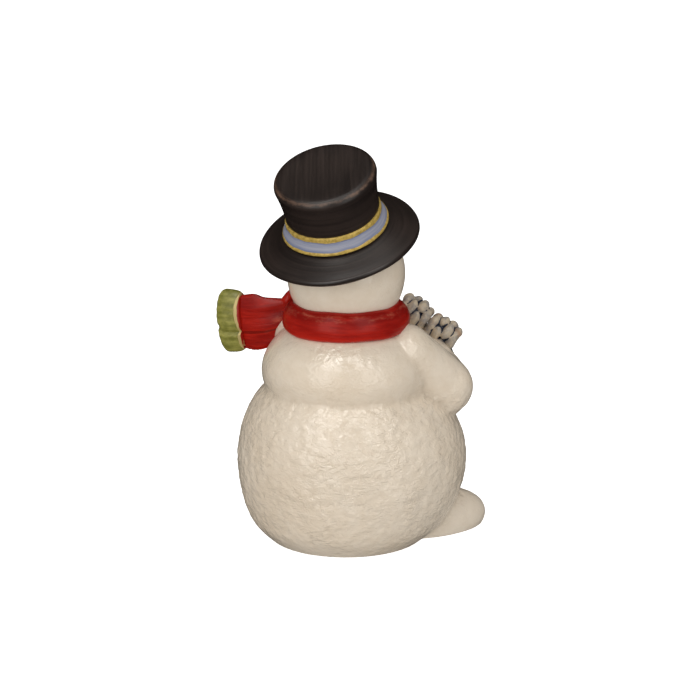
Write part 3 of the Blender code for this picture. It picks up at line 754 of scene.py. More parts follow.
def stroke_round(places: np.ndarray, line: np.ndarray) -> np.ndarray:
    """Brush directions on a turned piece.

    Args:
        places: the vertices, about the Z axis.
        line: the outline, (radius, height) rows.

    Returns:
        Rows of (x, y) on a circle of the mean radius, and the length along the outline.
    """
    radius = off_axis(places)
    flat = np.stack([radius, places[:, 2]], axis=1)
    lengths = np.concatenate([[0.0], np.cumsum(np.linalg.norm(np.diff(line, axis=0), axis=1))])
    nearest = np.linalg.norm(flat[:, None, :] - line[None, :, :], axis=2).argmin(axis=1)
    mean = line[:, 0].mean()
    safe = np.maximum(radius, 1e-9)
    return np.stack([places[:, 0] / safe * mean, places[:, 1] / safe * mean, lengths[nearest]], axis=1)


def ball(name: str, centre: Triple, size: Triple, segments: int = 96) -> bpy.types.Object:
    """A scaled sphere, the start of a shape that is sculpted or joined later.

    Args:
        name: the object's name.
        centre: where its middle is.
        size: its half sizes.
        segments: corners of its equator.

    Returns:
        The object.
    """
    deselect()
    bpy.ops.mesh.primitive_uv_sphere_add(segments=segments, ring_count=segments * 2 // 3, radius=1.0)
    piece = active(name)
    piece.location = centre
    piece.scale = size
    settle(piece)
    bpy.ops.object.shade_smooth()
    return piece


@dataclass
class Route:
    """A smooth path whose rows are x, y, z, half width and half thickness, with its width along `across`."""

    rows: Sequence[Sequence[float]]
    across: Triple
    cap_start: float = 0.0
    cap_end: float = 0.0
    square: float = 2.0

    def bar(
        self, name: str, rings: int, sides: int, relief: Relief | None = None
    ) -> bpy.types.Object:
        """Bends a sphere along the path, end to end.

        Args:
            name: the piece's name.
            rings: rings of the sphere along the path.
            sides: corners of a cross-section.
            relief: from share along and angle round, the change in width and in thickness, in metres.

        Returns:
            The object, with "stroke": the length along in x, the side in y, the place across in z.
        """
        deselect()
        bpy.ops.mesh.primitive_uv_sphere_add(segments=sides, ring_count=rings, radius=1.0)
        piece = active(name)
        unit = points(piece)
        share = np.arccos(np.clip(-unit[:, 2], -1.0, 1.0)) / math.pi
        angle = np.arctan2(unit[:, 1], unit[:, 0])
        dense = np.array(smoothed([tuple(row) for row in self.rows], 24))
        lengths = np.concatenate([[0.0], np.cumsum(np.linalg.norm(np.diff(dense[:, :3], axis=0), axis=1))])
        total = lengths[-1]
        at = share * total
        row = np.stack([np.interp(at, lengths, dense[:, column]) for column in range(5)], axis=1)
        slope = np.gradient(dense[:, :3], lengths, axis=0)
        along = np.stack([np.interp(at, lengths, slope[:, column]) for column in range(3)], axis=1)
        along /= np.linalg.norm(along, axis=1)[:, None]
        thick = np.cross(along, np.array(self.across))
        thick /= np.linalg.norm(thick, axis=1)[:, None]
        wide = np.cross(thick, along)
        scale = self._caps(share)
        cosine, sine = np.cos(angle), np.sin(angle)
        power = 2.0 / self.square
        side = np.sign(cosine) * np.abs(cosine) ** power * row[:, 3] * scale
        face = np.sign(sine) * np.abs(sine) ** power * row[:, 4] * scale
        if relief:
            more_wide, more_thick = relief(share, angle)
            side = side + more_wide * scale
            face = face + more_thick * scale
        move_points(piece, row[:, :3] + wide * side[:, None] + thick * face[:, None])
        store(piece, "stroke", np.stack([at, np.sign(sine) * 2.0 * MM, side], axis=1))
        store(piece, "across", cosine)
        pick(piece)
        bpy.ops.object.mode_set(mode="EDIT")
        bpy.ops.mesh.select_all(action="SELECT")
        bpy.ops.mesh.normals_make_consistent(inside=False)
        bpy.ops.object.mode_set(mode="OBJECT")
        bpy.ops.object.shade_smooth()
        return piece

    def _caps(self, share: np.ndarray) -> np.ndarray:
        """How full the section is near the rounded ends, whose lengths are shares of the path."""
        full = np.ones_like(share)
        for reach, cap in ((share, self.cap_start), (1.0 - share, self.cap_end)):
            inside = np.clip(1.0 - reach / max(cap, 1e-3), 0.0, 1.0)
            full *= np.sqrt(np.clip(1.0 - inside**2.4, 0.0, 1.0))
        return full


def join(name: str, pieces: Sequence[bpy.types.Object]) -> bpy.types.Object:
    """Joins objects into one.

    Args:
        name: the name of the result.
        pieces: the objects; the first one takes up the rest.

    Returns:
        The joined object.
    """
    deselect()
    for piece in pieces:
        piece.select_set(True)
    bpy.context.view_layer.objects.active = pieces[0]
    bpy.ops.object.join()
    return active(name)


def fused(piece: bpy.types.Object, voxel: float, rounds: int) -> bpy.types.Object:
    """Melts overlapping shapes into one skin, as slip does between pieces.

    Args:
        piece: the object.
        voxel: the grid that the skin is made on, in metres.
        rounds: how often its creases are softened.

    Returns:
        The object.
    """
    apply(piece, "REMESH", mode="VOXEL", voxel_size=voxel, use_smooth_shade=True)
    apply(piece, "SMOOTH", factor=0.5, iterations=rounds)
    return piece


def dress(piece: bpy.types.Object, material: bpy.types.Material, slot: str, *nodes: str) -> None:
    """Gives a finished piece its looks and its place in the model, and reports it.

    Args:
        piece: the object.
        material: its paint.
        slot: the name of a material slot; not used.
        nodes: the CAD nodes that it stands for.
    """
    piece.data.materials.clear()
    piece.data.materials.append(material)
    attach(piece, BODY)
    if nodes:
        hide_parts(*nodes)
    count = len(piece.data.polygons)
    LOG.info("%s: %d faces, stands for %s", piece.name, count, ", ".join(nodes) or "nothing")


@dataclass(frozen=True)
class Landmarks:
    """Places that the sub-assemblies share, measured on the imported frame."""

    ball_radius: float
    seat: float
    chest_radius: float
    neck: float
    head_radius: float
    head_height: float

    @classmethod
    def measured(cls) -> "Landmarks":
        """Reads them from the CAD nodes' boxes.

        Returns:
            The landmarks.
        """
        ball_low, ball_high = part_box("lower_body")
        chest_low, chest_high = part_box("chest")
        head_low, head_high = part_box("head")
        head_radius = (head_high.x - head_low.x) / 2
        return cls(
            ball_radius=(ball_high.x - ball_low.x) / 2, seat=ball_high.z,
            chest_radius=(chest_high.x - chest_low.x) / 2, neck=chest_high.z,
            head_radius=head_radius, head_height=head_high.z - head_radius,
        )

    def on_chest(self, side: Side, outward: float, forward: float, down: float) -> Vector:
        """Finds a place beside the chest.

        Args:
            side: the side of the figure.
            outward: how far from the middle, in radii of the chest.
            forward: how far in front of the middle, likewise.
            down: how far below the neck, likewise.

        Returns:
            The place.
        """
        reach = self.chest_radius
        return Vector((side.value * outward * reach, -forward * reach, self.neck - down * reach))


# ---------------------------------------------------------------------------------------------------------
# Sub-assemblies
# ---------------------------------------------------------------------------------------------------------


@dataclass
class Figure:
    """The glazed clay figure: ball, chest, arms and slippers under one glaze, and the head."""

    marks: Landmarks
    ball_rise: float = 48.0 * MM
    ball_height: float = 36.3 * MM
    belly_forward: float = 5.3 * MM
    chest_half_height: float = 25.7 * MM
    chest_height: float = 78.35 * MM
    shoulder: float = 13.0 * MM
    elbow: float = 13.7 * MM
    hand: float = 9.3 * MM
    thumb: Triple = (3.6 * MM, 4.6 * MM, 5.0 * MM)
    slipper: Triple = (14.2 * MM, 25.6 * MM, 13.3 * MM)
    slipper_top: float = 18.0 * MM
    slipper_splay: float = math.radians(26.0)
    voxel: float = 0.85 * MM
    softening: int = 22
    dab_size: float = 3.0 * MM
    ridge_size: float = 4.2 * MM
    lump_size: float = 8.5 * MM
    swell_size: float = 24.0 * MM
    faint: float = 0.26

    def build(self, glaze: bpy.types.Material) -> None:
        """Builds and dresses both pieces.

        Args:
            glaze: the cream glaze.
        """
        skin = join("glazed_body", [self._ball(), self._chest(), *self._arms(), *self._slippers()])
        fused(skin, self.voxel, self.softening)
        self._stand_flat(skin)
        self._dab(skin)
        # Painted shade: the depth of each point in a recess, which the glaze darkens.
        store(skin, "hollow", hollows(skin, 5, 2600.0))
        dress(
            skin, glaze, "ivory_glaze",
            "lower_body", "chest", "arm_right", "arm_left", "foot_right", "foot_left",
        )
        head = self._head()
        dress(head, glaze, "ivory_glaze", "head")

    def _lean(self, height: np.ndarray) -> np.ndarray:
        """How far the belly stands forward at these heights."""
        top = self.marks.seat
        lean = self.belly_forward * np.sin(math.pi * height / top)
        return np.where((height > 0) & (height < top), lean, 0.0)

    def _ball(self) -> bpy.types.Object:
        """The lower ball, cut flat and rounded at the foot, with the belly forward.

        Returns:
            The object.
        """
        radius = self.marks.ball_radius
        piece = ball("ball", (0.0, 0.0, self.ball_height), (radius, radius, radius), 128)
        places = points(piece)
        above = places[:, 2] > self.ball_height
        places[above, 2] = self.ball_height + (places[above, 2] - self.ball_height) * self.ball_rise / radius
        low = places[:, 2] < 9.0 * MM
        places[low, :2] *= 1.0 - 0.10 * smooth_rise(9.0, -6.0, places[low, 2:] / MM)
        places[:, 1] -= self._lean(places[:, 2])
        move_points(piece, places)
        return piece

    def _chest(self) -> bpy.types.Object:
        """The squat upper ball."""
        radius = self.marks.chest_radius
        return ball("trunk", (0.0, 0.0, self.chest_height), (radius, radius, self.chest_half_height), 96)

    def _arms(self) -> list[bpy.types.Object]:
        """Both arms, each a bent bar that ends in a mitten with a thumb."""
        made = []
        for side in Side:
            spots = [
                self.marks.on_chest(side, 0.709, 0.184, 0.328),
                self.marks.on_chest(side, 0.955, 0.630, 0.800),
                self.marks.on_chest(side, 0.420, 1.129, 0.504),
            ]
            sizes = (self.shoulder, self.elbow, self.hand)
            for index in range(2):
                start, end = spots[index], spots[index + 1]
                way = (end - start).normalized()
                first, last = sizes[index], sizes[index + 1]
                rows = [
                    (*(start - way * first), first, first), (*start, first, first),
                    (*end, last, last), (*(end + way * last), last, last),
                ]
                length = (end - start).length + first + last
                route = Route(rows, (0.0, 0.0, 1.0), first / length, last / length)
                made.append(route.bar(f"limb_{side.name}_{index}", 40, 32))
            thumb = spots[2] + Vector((-side.value * 0.5 * MM, -1.5 * MM, 6.5 * MM))
            made.append(ball(f"thumb_{side.name}", thumb, self.thumb, 32))
        return made

    def _slippers(self) -> list[bpy.types.Object]:
        """Both slippers, pointing forward and outward from under the ball."""
        made = []
        for side in Side:
            centre = (
                side.value * 0.620 * self.marks.ball_radius, -0.536 * self.marks.ball_radius,
                self.slipper_top - self.slipper[2],
            )
            piece = ball(f"slipper_{side.name}", (0.0, 0.0, 0.0), self.slipper, 64)
            piece.data.transform(Matrix.Rotation(side.value * self.slipper_splay, 4, "Z"))
            piece.data.transform(Matrix.Translation(centre))
            made.append(piece)
        return made

    def _stand_flat(self, skin: bpy.types.Object) -> None:
        """Presses what reaches below the ground up to a flat, closed foot."""
        places = points(skin)
        places[:, 2] = np.where(places[:, 2] < 0.6 * MM, np.maximum(places[:, 2], 0.0), places[:, 2])
        move_points(skin, places)

    def _dab(self, skin: bpy.types.Object) -> None:
        """Sculpts the dabbed clay: strong on the ball, faint on the chest, arms and slippers.

        Args:
            skin: the fused body.
        """
        places = points(skin)
        out = normals(skin)
        height = places[:, 2]
        forward = self._lean(height)
        from_axis = np.hypot(places[:, 0], places[:, 1] + forward)
        on_ball = smooth_rise(self.marks.seat, self.marks.seat - 7.0 * MM, height)
        on_ball *= smooth_rise(4.0 * MM, 11.0 * MM, height)
        on_ball *= smooth_rise(self.marks.ball_radius + 3.0 * MM, self.marks.ball_radius, from_axis)
        strength = self.faint + (1.0 - self.faint) * on_ball
        lumps = field_noise(places, self.lump_size, 3.1)
        warped = places + np.stack([lumps, -lumps, lumps], axis=1) * 1.4 * MM
        dabs = field_noise(warped, self.dab_size, 7.7)
        ridges = 1.0 - np.abs(field_noise(warped * (1.0, 1.0, 1.5), self.ridge_size, 12.3)) * 2.2
        swell = field_noise(places, self.swell_size, 1.9)
        depth = (dabs * 0.30 + ridges * 0.17 + lumps * 0.22) * strength * MM + swell * 0.35 * MM
        depth *= smooth_rise(0.3 * MM, 3.0 * MM, height)
        move_points(skin, places + out * depth[:, None])
        store(skin, "dabbing", 0.42 + 0.58 * on_ball)

    def _head(self) -> bpy.types.Object:
        """The head, very slightly uneven.

        Returns:
            The object.
        """
        radius = self.marks.head_radius
        piece = ball("head_ball", (0.0, 0.0, self.marks.head_height), (radius, radius, radius), 128)
        places = points(piece)
        uneven = field_noise(places, 16.0 * MM, 5.2) * 0.28
        uneven = uneven + field_noise(places, 4.0 * MM, 8.8) * 0.035
        move_points(piece, places + normals(piece) * uneven[:, None] * MM)
        # Painted shade: darker towards the bottom of the head, over the neck, stored as the hollow level that
        # the glaze darkens.
        shade = smooth_rise(self.marks.neck + 9.0 * MM, self.marks.neck + 2.0 * MM, places[:, 2])
        store(piece, "hollow", shade * 0.8)
        store(piece, "dabbing", np.full(len(places), 0.12))
        return piece


@dataclass
class Hat:
    """Top hat: drooping brim, waisted crown and a ribbon between two gold lines."""

    marks: Landmarks
    tilt: float = math.radians(-24.2)
    roll: float = math.radians(-1.5)
    base: float = 25.2 * MM
    top: float = 54.5 * MM
    base_radius: float = 24.2 * MM
    waist_radius: float = 21.1 * MM
    top_radius: float = 23.1 * MM
    edge: float = 3.3 * MM
    band_low: float = 26.8 * MM
    band_high: float = 34.2 * MM
    brim_radius: float = 36.2 * MM
    brim_droop: float = 6.0 * MM
    brim_edge: float = 2.7 * MM
    dish: float = 0.2 * MM
    back_lift: float = 1.3 * MM
    top_lean: float = math.tan(math.radians(2.6))
    shift: Triple = (-0.7 * MM, 0.0, 0.0)

    def build(self, paint: bpy.types.Material, ribbon: bpy.types.Material) -> None:
        """Builds and dresses the three pieces.

        Args:
            paint: the black-brown satin.
            ribbon: the lavender and gold.
        """
        for piece, material, slot, node in (
            (self._crown(), paint, "black_brown_satin", "hat_crown"),
            (self._brim(), paint, "black_brown_satin", "hat_brim"),
            (self._band(), ribbon, "lavender_underglaze", "hat_band"),
        ):
            self._unevenness(piece)
            piece.data.transform(self._seat())
            dress(piece, material, slot, node)

    def _seat(self) -> Matrix:
        """From the hat's own frame, along its axis from the middle of the head, to its place."""
        turn = Matrix.Rotation(self.roll, 4, "Y") @ Matrix.Rotation(self.tilt, 4, "X")
        middle = Vector((0.0, 0.0, self.marks.head_height)) + Vector(self.shift)
        return Matrix.Translation(middle) @ turn

    def _unevenness(self, piece: bpy.types.Object) -> None:
        """Slow waves of a hand-made shape, the same for all three pieces.

        Args:
            piece: a piece of the hat, in the hat's own frame.
        """
        places = points(piece)
        wave = field_noise(places, 26.0 * MM, 2.4) * 0.55
        sag = field_noise(places, 38.0 * MM, 9.4) * 0.15
        radius = off_axis(places)
        far = smooth_rise(self.base_radius, self.brim_radius, radius)
        out = places[:, :2] / np.maximum(radius, 1.0 * MM)[:, None]
        places[:, :2] += out * (wave * smooth_rise(2.0 * MM, 12.0 * MM, radius) * MM)[:, None]
        places[:, 2] += sag * (0.35 + far * 1.3) * MM
        back = places[:, 0] * -0.5 + places[:, 1] * 0.866
        high = smooth_rise(self.band_high, self.top, places[:, 2])
        lift = far * smooth_rise(0.0, self.brim_radius, back) * self.back_lift
        places[:, 2] += lift - back * high * self.top_lean
        move_points(piece, places)

    def _waist(self, height: float) -> float:
        """Radius of the crown at this height over the band."""
        share = (height - self.band_high) / (self.top - self.edge - self.band_high)
        return self.waist_radius + (self.top_radius - self.waist_radius) * max(share, 0.0) ** 2

    def _flare(self, height: float) -> float:
        """Radius of the ribbon's face, which spreads towards the brim."""
        share = (self.band_high - height) / (self.band_high - self.band_low)
        return self.waist_radius + 0.15 * MM + (self.base_radius - self.waist_radius) * 0.86 * share**1.5

    def _crown(self) -> bpy.types.Object:
        """The crown: a slightly dished top, a soft edge and a waisted wall, closed below.

        Returns:
            The object.
        """
        edge_middle = self.top - self.edge
        outline: Outline = [(0.0, self.top - self.dish)]
        for step in range(1, 9):
            share = step / 8
            radius = (self.top_radius - self.edge) * share
            outline.append((radius, self.top - self.dish * (1.0 - share**2)))
        for step in range(1, 9):
            angle = math.radians(90.0 * (1.0 - step / 8))
            outline.append((
                self.top_radius - self.edge + self.edge * math.cos(angle),
                edge_middle + self.edge * math.sin(angle),
            ))
        wall_low = self.band_low - 0.5 * MM
        for step in range(1, 15):
            height = edge_middle + (wall_low - edge_middle) * step / 14
            radius = self._waist(height)
            if height < self.band_high:
                radius = self._flare(max(height, self.band_low)) - 0.9 * MM
            outline.append((radius, height))
        outline += [(self.waist_radius - 5.0 * MM, wall_low - 0.5 * MM), (0.0, wall_low - 0.5 * MM)]
        piece = turned("hat_crown_shell", outline)
        places = points(piece)
        radius = off_axis(places)
        ring = np.hypot(radius - (self.top_radius - 0.7 * MM), places[:, 2] - (self.top - 0.7 * MM))
        store(piece, "wear_and_painted_light", np.clip(1.0 - ring / (2.6 * MM), 0.0, 1.0))
        self._brush_across(piece, radius < self.top_radius - self.edge * 0.6)
        return piece

    @staticmethod
    def _brush_across(piece: bpy.types.Object, top: np.ndarray) -> None:
        """Turns the brush strokes on the crown's top into straight ones, one way across it.

        Args:
            piece: the crown.
            top: which of its vertices may lie on the top.
        """
        places = points(piece)
        layer = piece.data.attributes["stroke"].data
        strokes = np.empty(len(layer) * 3)
        layer.foreach_get("vector", strokes)
        strokes = strokes.reshape(-1, 3)
        upper = top & (places[:, 2] > places[:, 2].max() - 1.5 * MM)
        way = np.array((math.cos(math.radians(118.0)), math.sin(math.radians(118.0))))
        beside = np.array((-way[1], way[0]))
        strokes[upper, 0] = places[upper, :2] @ way
        strokes[upper, 1] = 0.0
        strokes[upper, 2] = places[upper, :2] @ beside
        layer.foreach_set("vector", strokes.ravel())

    def _brim(self) -> bpy.types.Object:
        """The brim: it leaves the band almost flat, droops to a thin rounded edge and is hollow below.

        Returns:
            The object.
        """
        rim = self.brim_edge / 2
        rim_radius = self.brim_radius - rim
        rim_height = self.base - self.brim_droop
        top = smoothed([
            (self.base_radius - 4.0 * MM, self.base + 1.3 * MM), (self.base_radius, self.base + 0.2 * MM),
            (self.base_radius + (rim_radius - self.base_radius) * 0.5, self.base - self.brim_droop * 0.36),
            (rim_radius, rim_height + rim),
        ], 8)
        edge = [
            (rim_radius + rim * math.sin(angle), rim_height + rim * math.cos(angle))
            for angle in map(math.radians, range(20, 181, 20))
        ]
        below = smoothed([
            (rim_radius, rim_height - rim), (self.base_radius + 3.0 * MM, self.base - 5.6 * MM),
            (self.base_radius - 3.0 * MM, self.base - 7.0 * MM),
        ], 5)
        root = [(self.base_radius - 5.0 * MM, self.base - 6.5 * MM), (self.base_radius - 5.0 * MM, self.base)]
        piece = turned("hat_brim_ring", [*top, *edge, *below[1:], *root])
        places = points(piece)
        radius = off_axis(places)
        ring = np.hypot(radius - rim_radius - rim * 0.3, places[:, 2] - rim_height + rim * 0.8)
        store(piece, "wear_and_painted_light", np.clip(1.0 - ring / (1.6 * MM), 0.0, 1.0) * 1.3)
        return piece

    def _band(self) -> bpy.types.Object:
        """The ribbon, with a low bead under each gold line.

        Returns:
            The object.
        """
        outer: Outline = []
        for step in range(25):
            share = step / 24
            height = self.band_low + (self.band_high - self.band_low) * share
            bead = max(0.0, 1.0 - abs(share - 0.11) / 0.11) + max(0.0, 1.0 - abs(share - 0.89) / 0.11)
            outer.append((self._flare(height) + 0.32 * MM * math.sqrt(bead), height))
        inner = [(self._flare(height) - 1.2 * MM, height) for _, height in (outer[-1], outer[12], outer[0])]
        return turned("hat_band_ribbon", [*outer, *inner])


@dataclass
class Scarf:
    """A red scarf: a wrap, its knot and two tails that end in fat ribbed cuffs."""

    marks: Landmarks
    wrap_radius: float = 28.4 * MM
    wrap_top_radius: float = 23.3 * MM
    wrap_inner_radius: float = 18.5 * MM
    knot_angle: float = math.radians(-38.0)
    thickness: float = 5.5 * MM
    root_width: float = 18.5 * MM
    end_width: float = 26.5 * MM
    reach: float = 30.5 * MM
    cuff_width: float = 29.4 * MM
    cuff_thickness: float = 10.0 * MM
    cuff_length: float = 12.6 * MM
    ribs: int = 9
    fold: float = -0.22

    def build(self, red: bpy.types.Material, green: bpy.types.Material) -> None:
        """Builds and dresses the six pieces.

        Args:
            red: the paint of the cloth.
            green: the paint of the borders.
        """
        dress(self._wrap(), red, "red_underglaze", "scarf_wrap")
        dress(self._knot(), red, "red_underglaze", "scarf_knot")
        for name, rows, across in (
            ("side", self._side_rows(), (0.0, 0.0, 1.0)), ("front", self._front_rows(), (1.0, 0.0, 0.0)),
        ):
            cloth = self._tail(f"scarf_{name}_cloth", rows, across)
            dress(cloth, red, "red_underglaze", f"scarf_tail_{name}")
            border = self._cuff(f"scarf_{name}_border", rows, across)
            dress(border, green, "olive_underglaze", f"scarf_cuff_{name}")

    def _knot_place(self) -> Vector:
        """The middle of the knot."""
        radius = self.wrap_radius + 1.0 * MM
        x, y = radius * math.cos(self.knot_angle), radius * math.sin(self.knot_angle)
        return Vector((x, y, self.marks.neck + 1.5 * MM))

    def _side_rows(self) -> list[tuple[float, ...]]:
        """The side tail from the knot: out to the figure's left, flaring towards its end.

        Returns:
            The rows of a Route.
        """
        root = self._knot_place()
        path = ((0.066, 0.131, 0.0, -0.1), (0.20, 0.34, 0.02, 0.30), (0.311, 0.475, 0.120, 0.05),
                (0.623, 0.623, 0.215, 0.62), (1.0, 0.672, 0.246, 1.0))
        rows = []
        for left, back, down, flare in path:
            width = self.root_width + (self.end_width - self.root_width) * flare
            place = root + Vector((left, back, -down)) * self.reach
            rows.append((*place, width / 2, self.thickness / 2))
        return rows

    def _front_rows(self) -> list[tuple[float, ...]]:
        """The front tail from the knot: over the left forearm and down against the belly.

        Returns:
            The rows of a Route.
        """
        root = self._knot_place()
        half = self.thickness / 2
        over = self.marks.on_chest(Side.LEFT, 0.682, 0.892, 0.722)
        clear = 16.2 * MM
        rows = [(root.x - 1.0 * MM, root.y - 3.0 * MM, root.z - 3.0 * MM, self.root_width / 2, half)]
        for angle in (75.0, 40.0, 5.0):
            turn = math.radians(angle)
            rows.append((
                over.x, over.y - clear * math.cos(turn), over.z + clear * math.sin(turn),
                self.root_width / 2 + 0.5 * MM, half,
            ))
        rows.append((over.x, over.y - clear, over.z - 9.0 * MM, self.end_width / 2 - 1.5 * MM, half))
        return rows

    def _wrap(self) -> bpy.types.Object:
        """The ring round the neck: bulging, with soft uneven edges.

        Returns:
            The object.
        """
        neck, head = self.marks.neck, self.marks.head_height
        low = neck - 3.5 * MM
        high = head - math.sqrt(self.marks.head_radius**2 - self.wrap_top_radius**2) + 0.6 * MM
        tall = high - low
        full = self.wrap_radius
        outline = smoothed([
            (full - 3.4 * MM, low), (full - 0.6 * MM, low + tall * 0.10),
            (full + 0.1 * MM, low + tall * 0.22), (full + 0.22 * MM, low + tall * 0.31),
            (full + 0.25 * MM, low + tall * 0.44), (full - 0.6 * MM, low + tall * 0.68),
            (full - 2.4 * MM, low + tall * 0.90),
            (self.wrap_top_radius + 0.6 * MM, high), (self.wrap_top_radius - 1.0 * MM, high - 0.9 * MM),
        ], 5)
        inner = [(self.wrap_inner_radius, neck + 4.5 * MM), (self.wrap_inner_radius, neck + 0.5 * MM)]
        piece = turned("scarf_ring", [*outline, *inner], 160)
        places = points(piece)
        radius = off_axis(places)
        share = np.clip((places[:, 2] - low) / tall, 0.0, 1.0)
        outside = smooth_rise(self.wrap_top_radius - 3.0 * MM, self.wrap_top_radius, radius)
        wave = field_noise(places * (1.0, 1.0, 0.4), 14.0 * MM, 4.4)
        folds = field_noise(places * (1.0, 1.0, 3.0), 17.0 * MM, 6.1)
        places[:, 2] += wave * outside * 0.9 * MM
        places[:, :2] *= 1.0 + (folds * outside * 0.45 * MM / np.maximum(radius, MM))[:, None]
        move_points(piece, places)
        upper = 0.75 * smooth_rise(0.45, 0.86, share) - 0.9 * smooth_rise(0.90, 1.0, share)
        store(piece, "wear_and_painted_light", outside * upper - 0.8 * smooth_rise(0.30, 0.0, share))
        return piece

    def _knot(self) -> bpy.types.Object:
        """The knot: an egg pinched by three creases.

        Returns:
            The object.
        """
        piece = ball("scarf_knot_lump", (0.0, 0.0, 0.0), (9.5 * MM, 6.5 * MM, 9.0 * MM), 96)
        places = points(piece)
        angle = np.arctan2(places[:, 2], places[:, 0])
        pinch = 1.0 - 0.10 * np.abs(np.cos(angle * 1.5 + 0.5)) ** 8
        places *= (pinch + 0.05 * field_noise(places, 5.0 * MM, 2.2))[:, None]
        move_points(piece, places)
        store(piece, "stroke", np.stack([places[:, 2], places[:, 1], places[:, 0]], axis=1))
        store(piece, "wear_and_painted_light", field_noise(places, 7.0 * MM, 1.2))
        turn = Matrix.Rotation(self.knot_angle + math.pi / 2, 4, "Z")
        piece.data.transform(Matrix.Translation(self._knot_place()) @ turn)
        return piece

    def _tail(self, name: str, rows: Sequence[Sequence[float]], across: Triple) -> bpy.types.Object:
        """Makes a tail with a long fold below its middle, beyond which it steps back.

        Args:
            name: the object's name.
            rows: the tail's path from the knot.
            across: the way that its width runs.

        Returns:
            The object.
        """
        fold = self.fold

        def relief(share: np.ndarray, angle: np.ndarray) -> tuple[np.ndarray, np.ndarray]:
            """The fold, a few lengthways creases and wavy edges.

            Args:
                share: places along, 0 to 1.
                angle: places round, in radians.

            Returns:
                The change in width and in thickness, in metres.
            """
            place = np.cos(angle)
            groove = -0.9 * np.exp(-(((place - fold) / 0.065) ** 2)) * smooth_rise(0.10, 0.45, share)
            back = -1.5 * smooth_rise(fold, fold - 0.10, place) * smooth_rise(0.10, 0.5, share)
            crease = 0.35 * np.sin(place * 9.0 + share * 5.0) * (1.0 - share * 0.5)
            wave = 0.55 * np.sin(share * 10.0 + 0.7) + 0.35 * np.sin(share * 17.0)
            wide = wave * np.abs(place) ** 3 * np.sign(place) * MM
            return wide, (groove + back + crease) * np.sign(np.sin(angle)) * MM

        piece = Route(rows, across, 0.10, 0.02, 3.0).bar(name, 96, 128, relief)
        across_it = loaded(piece, "across")
        patches = np.clip(field_noise(points(piece), 9.0 * MM, 3.3) * 0.9 + 0.1, -0.6, 1.0)
        # The level is scuffed wear in patches, and dips far below zero along the fold, which the paint turns
        # into painted shade.
        store(piece, "wear_and_painted_light", patches - 2.4 * np.exp(-(((across_it - fold) / 0.055) ** 2)))
        return piece

    def _cuff(self, name: str, rows: Sequence[Sequence[float]], across: Triple) -> bpy.types.Object:
        """Makes the fat border past a tail's end, ribbed lengthways and lobed along its outer edge.

        Args:
            name: the object's name.
            rows: the path of the tail that it ends.
            across: the way that its width runs.

        Returns:
            The object, with "seam" and "line": how far in the gold line stands, and how wide it is.
        """
        dense = smoothed([tuple(row) for row in rows], 8)
        end, before = Vector(dense[-1][:3]), Vector(dense[-3][:3])
        way = (end - before).normalized()
        half, round_half = self.cuff_width / 2, self.cuff_thickness / 2
        stations = []
        for share, swell in ((-0.06, 0.88), (0.12, 0.97), (0.5, 1.0), (0.8, 0.99), (1.0, 0.96)):
            stations.append((*(end + way * self.cuff_length * share), half * swell, round_half * swell))
        count, fold = self.ribs, self.fold

        def relief(share: np.ndarray, angle: np.ndarray) -> tuple[np.ndarray, np.ndarray]:
            """Ribs across the width and a notch where the tail folds.

            Args:
                share: places along, 0 to 1.
                angle: places round, in radians.

            Returns:
                The change in width and in thickness, in metres.
            """
            place = np.cos(angle)
            lengthways = place * count * math.pi / 2 + 0.5 * np.sin(place * 5.0)
            rib = 0.17 * np.abs(np.cos(lengthways)) ** 0.7 * smooth_rise(0.0, 0.5, share)
            notch = -1.5 * np.exp(-(((place - fold) / 0.06) ** 2))
            slump = -0.8 * smooth_rise(fold + 0.04, fold - 0.06, place)
            lobes = 0.35 * np.cos(place * 7.0) * share
            return lobes * np.sign(place) * MM, (rib + notch + slump) * np.sign(np.sin(angle)) * MM

        piece = Route(stations, across, 0.02, 0.42, 2.5).bar(name, 72, 144, relief)
        places = points(piece)
        unit = np.array(way)
        share = ((places - np.array(end)) @ unit) / self.cuff_length
        sideways = (places - np.array(end)) @ np.array(across) / half
        bite = 0.9 * np.exp(-(((sideways - fold) / 0.10) ** 2)) + 0.07 * np.cos(sideways * count * math.pi)
        places -= unit * (bite * smooth_rise(0.45, 1.0, share) * MM)[:, None]
        move_points(piece, places)
        crest = np.abs(np.cos(sideways * count * math.pi / 2 + 0.5 * np.sin(sideways * 5.0)))
        # Painted light: the level is high on the rib crests (painted highlight) and low in the valleys
        # (painted shade), and it rises towards the outer end.
        store(piece, "wear_and_painted_light", crest * 0.7 + 0.5 * smooth_rise(0.6, 1.0, share) - 0.3)
        above = np.clip(1.0 - ((sideways - fold - 0.55) / 0.62) ** 2, 0.0, 1.0)
        under = np.clip(1.0 - ((sideways - fold + 0.30) / 0.34) ** 2, 0.0, 1.0)
        store(piece, "seam", (0.4 + 2.2 * above + 1.3 * under) * MM)
        store(piece, "line", (0.5 + 1.1 * above + 0.8 * under) * MM)
        return piece


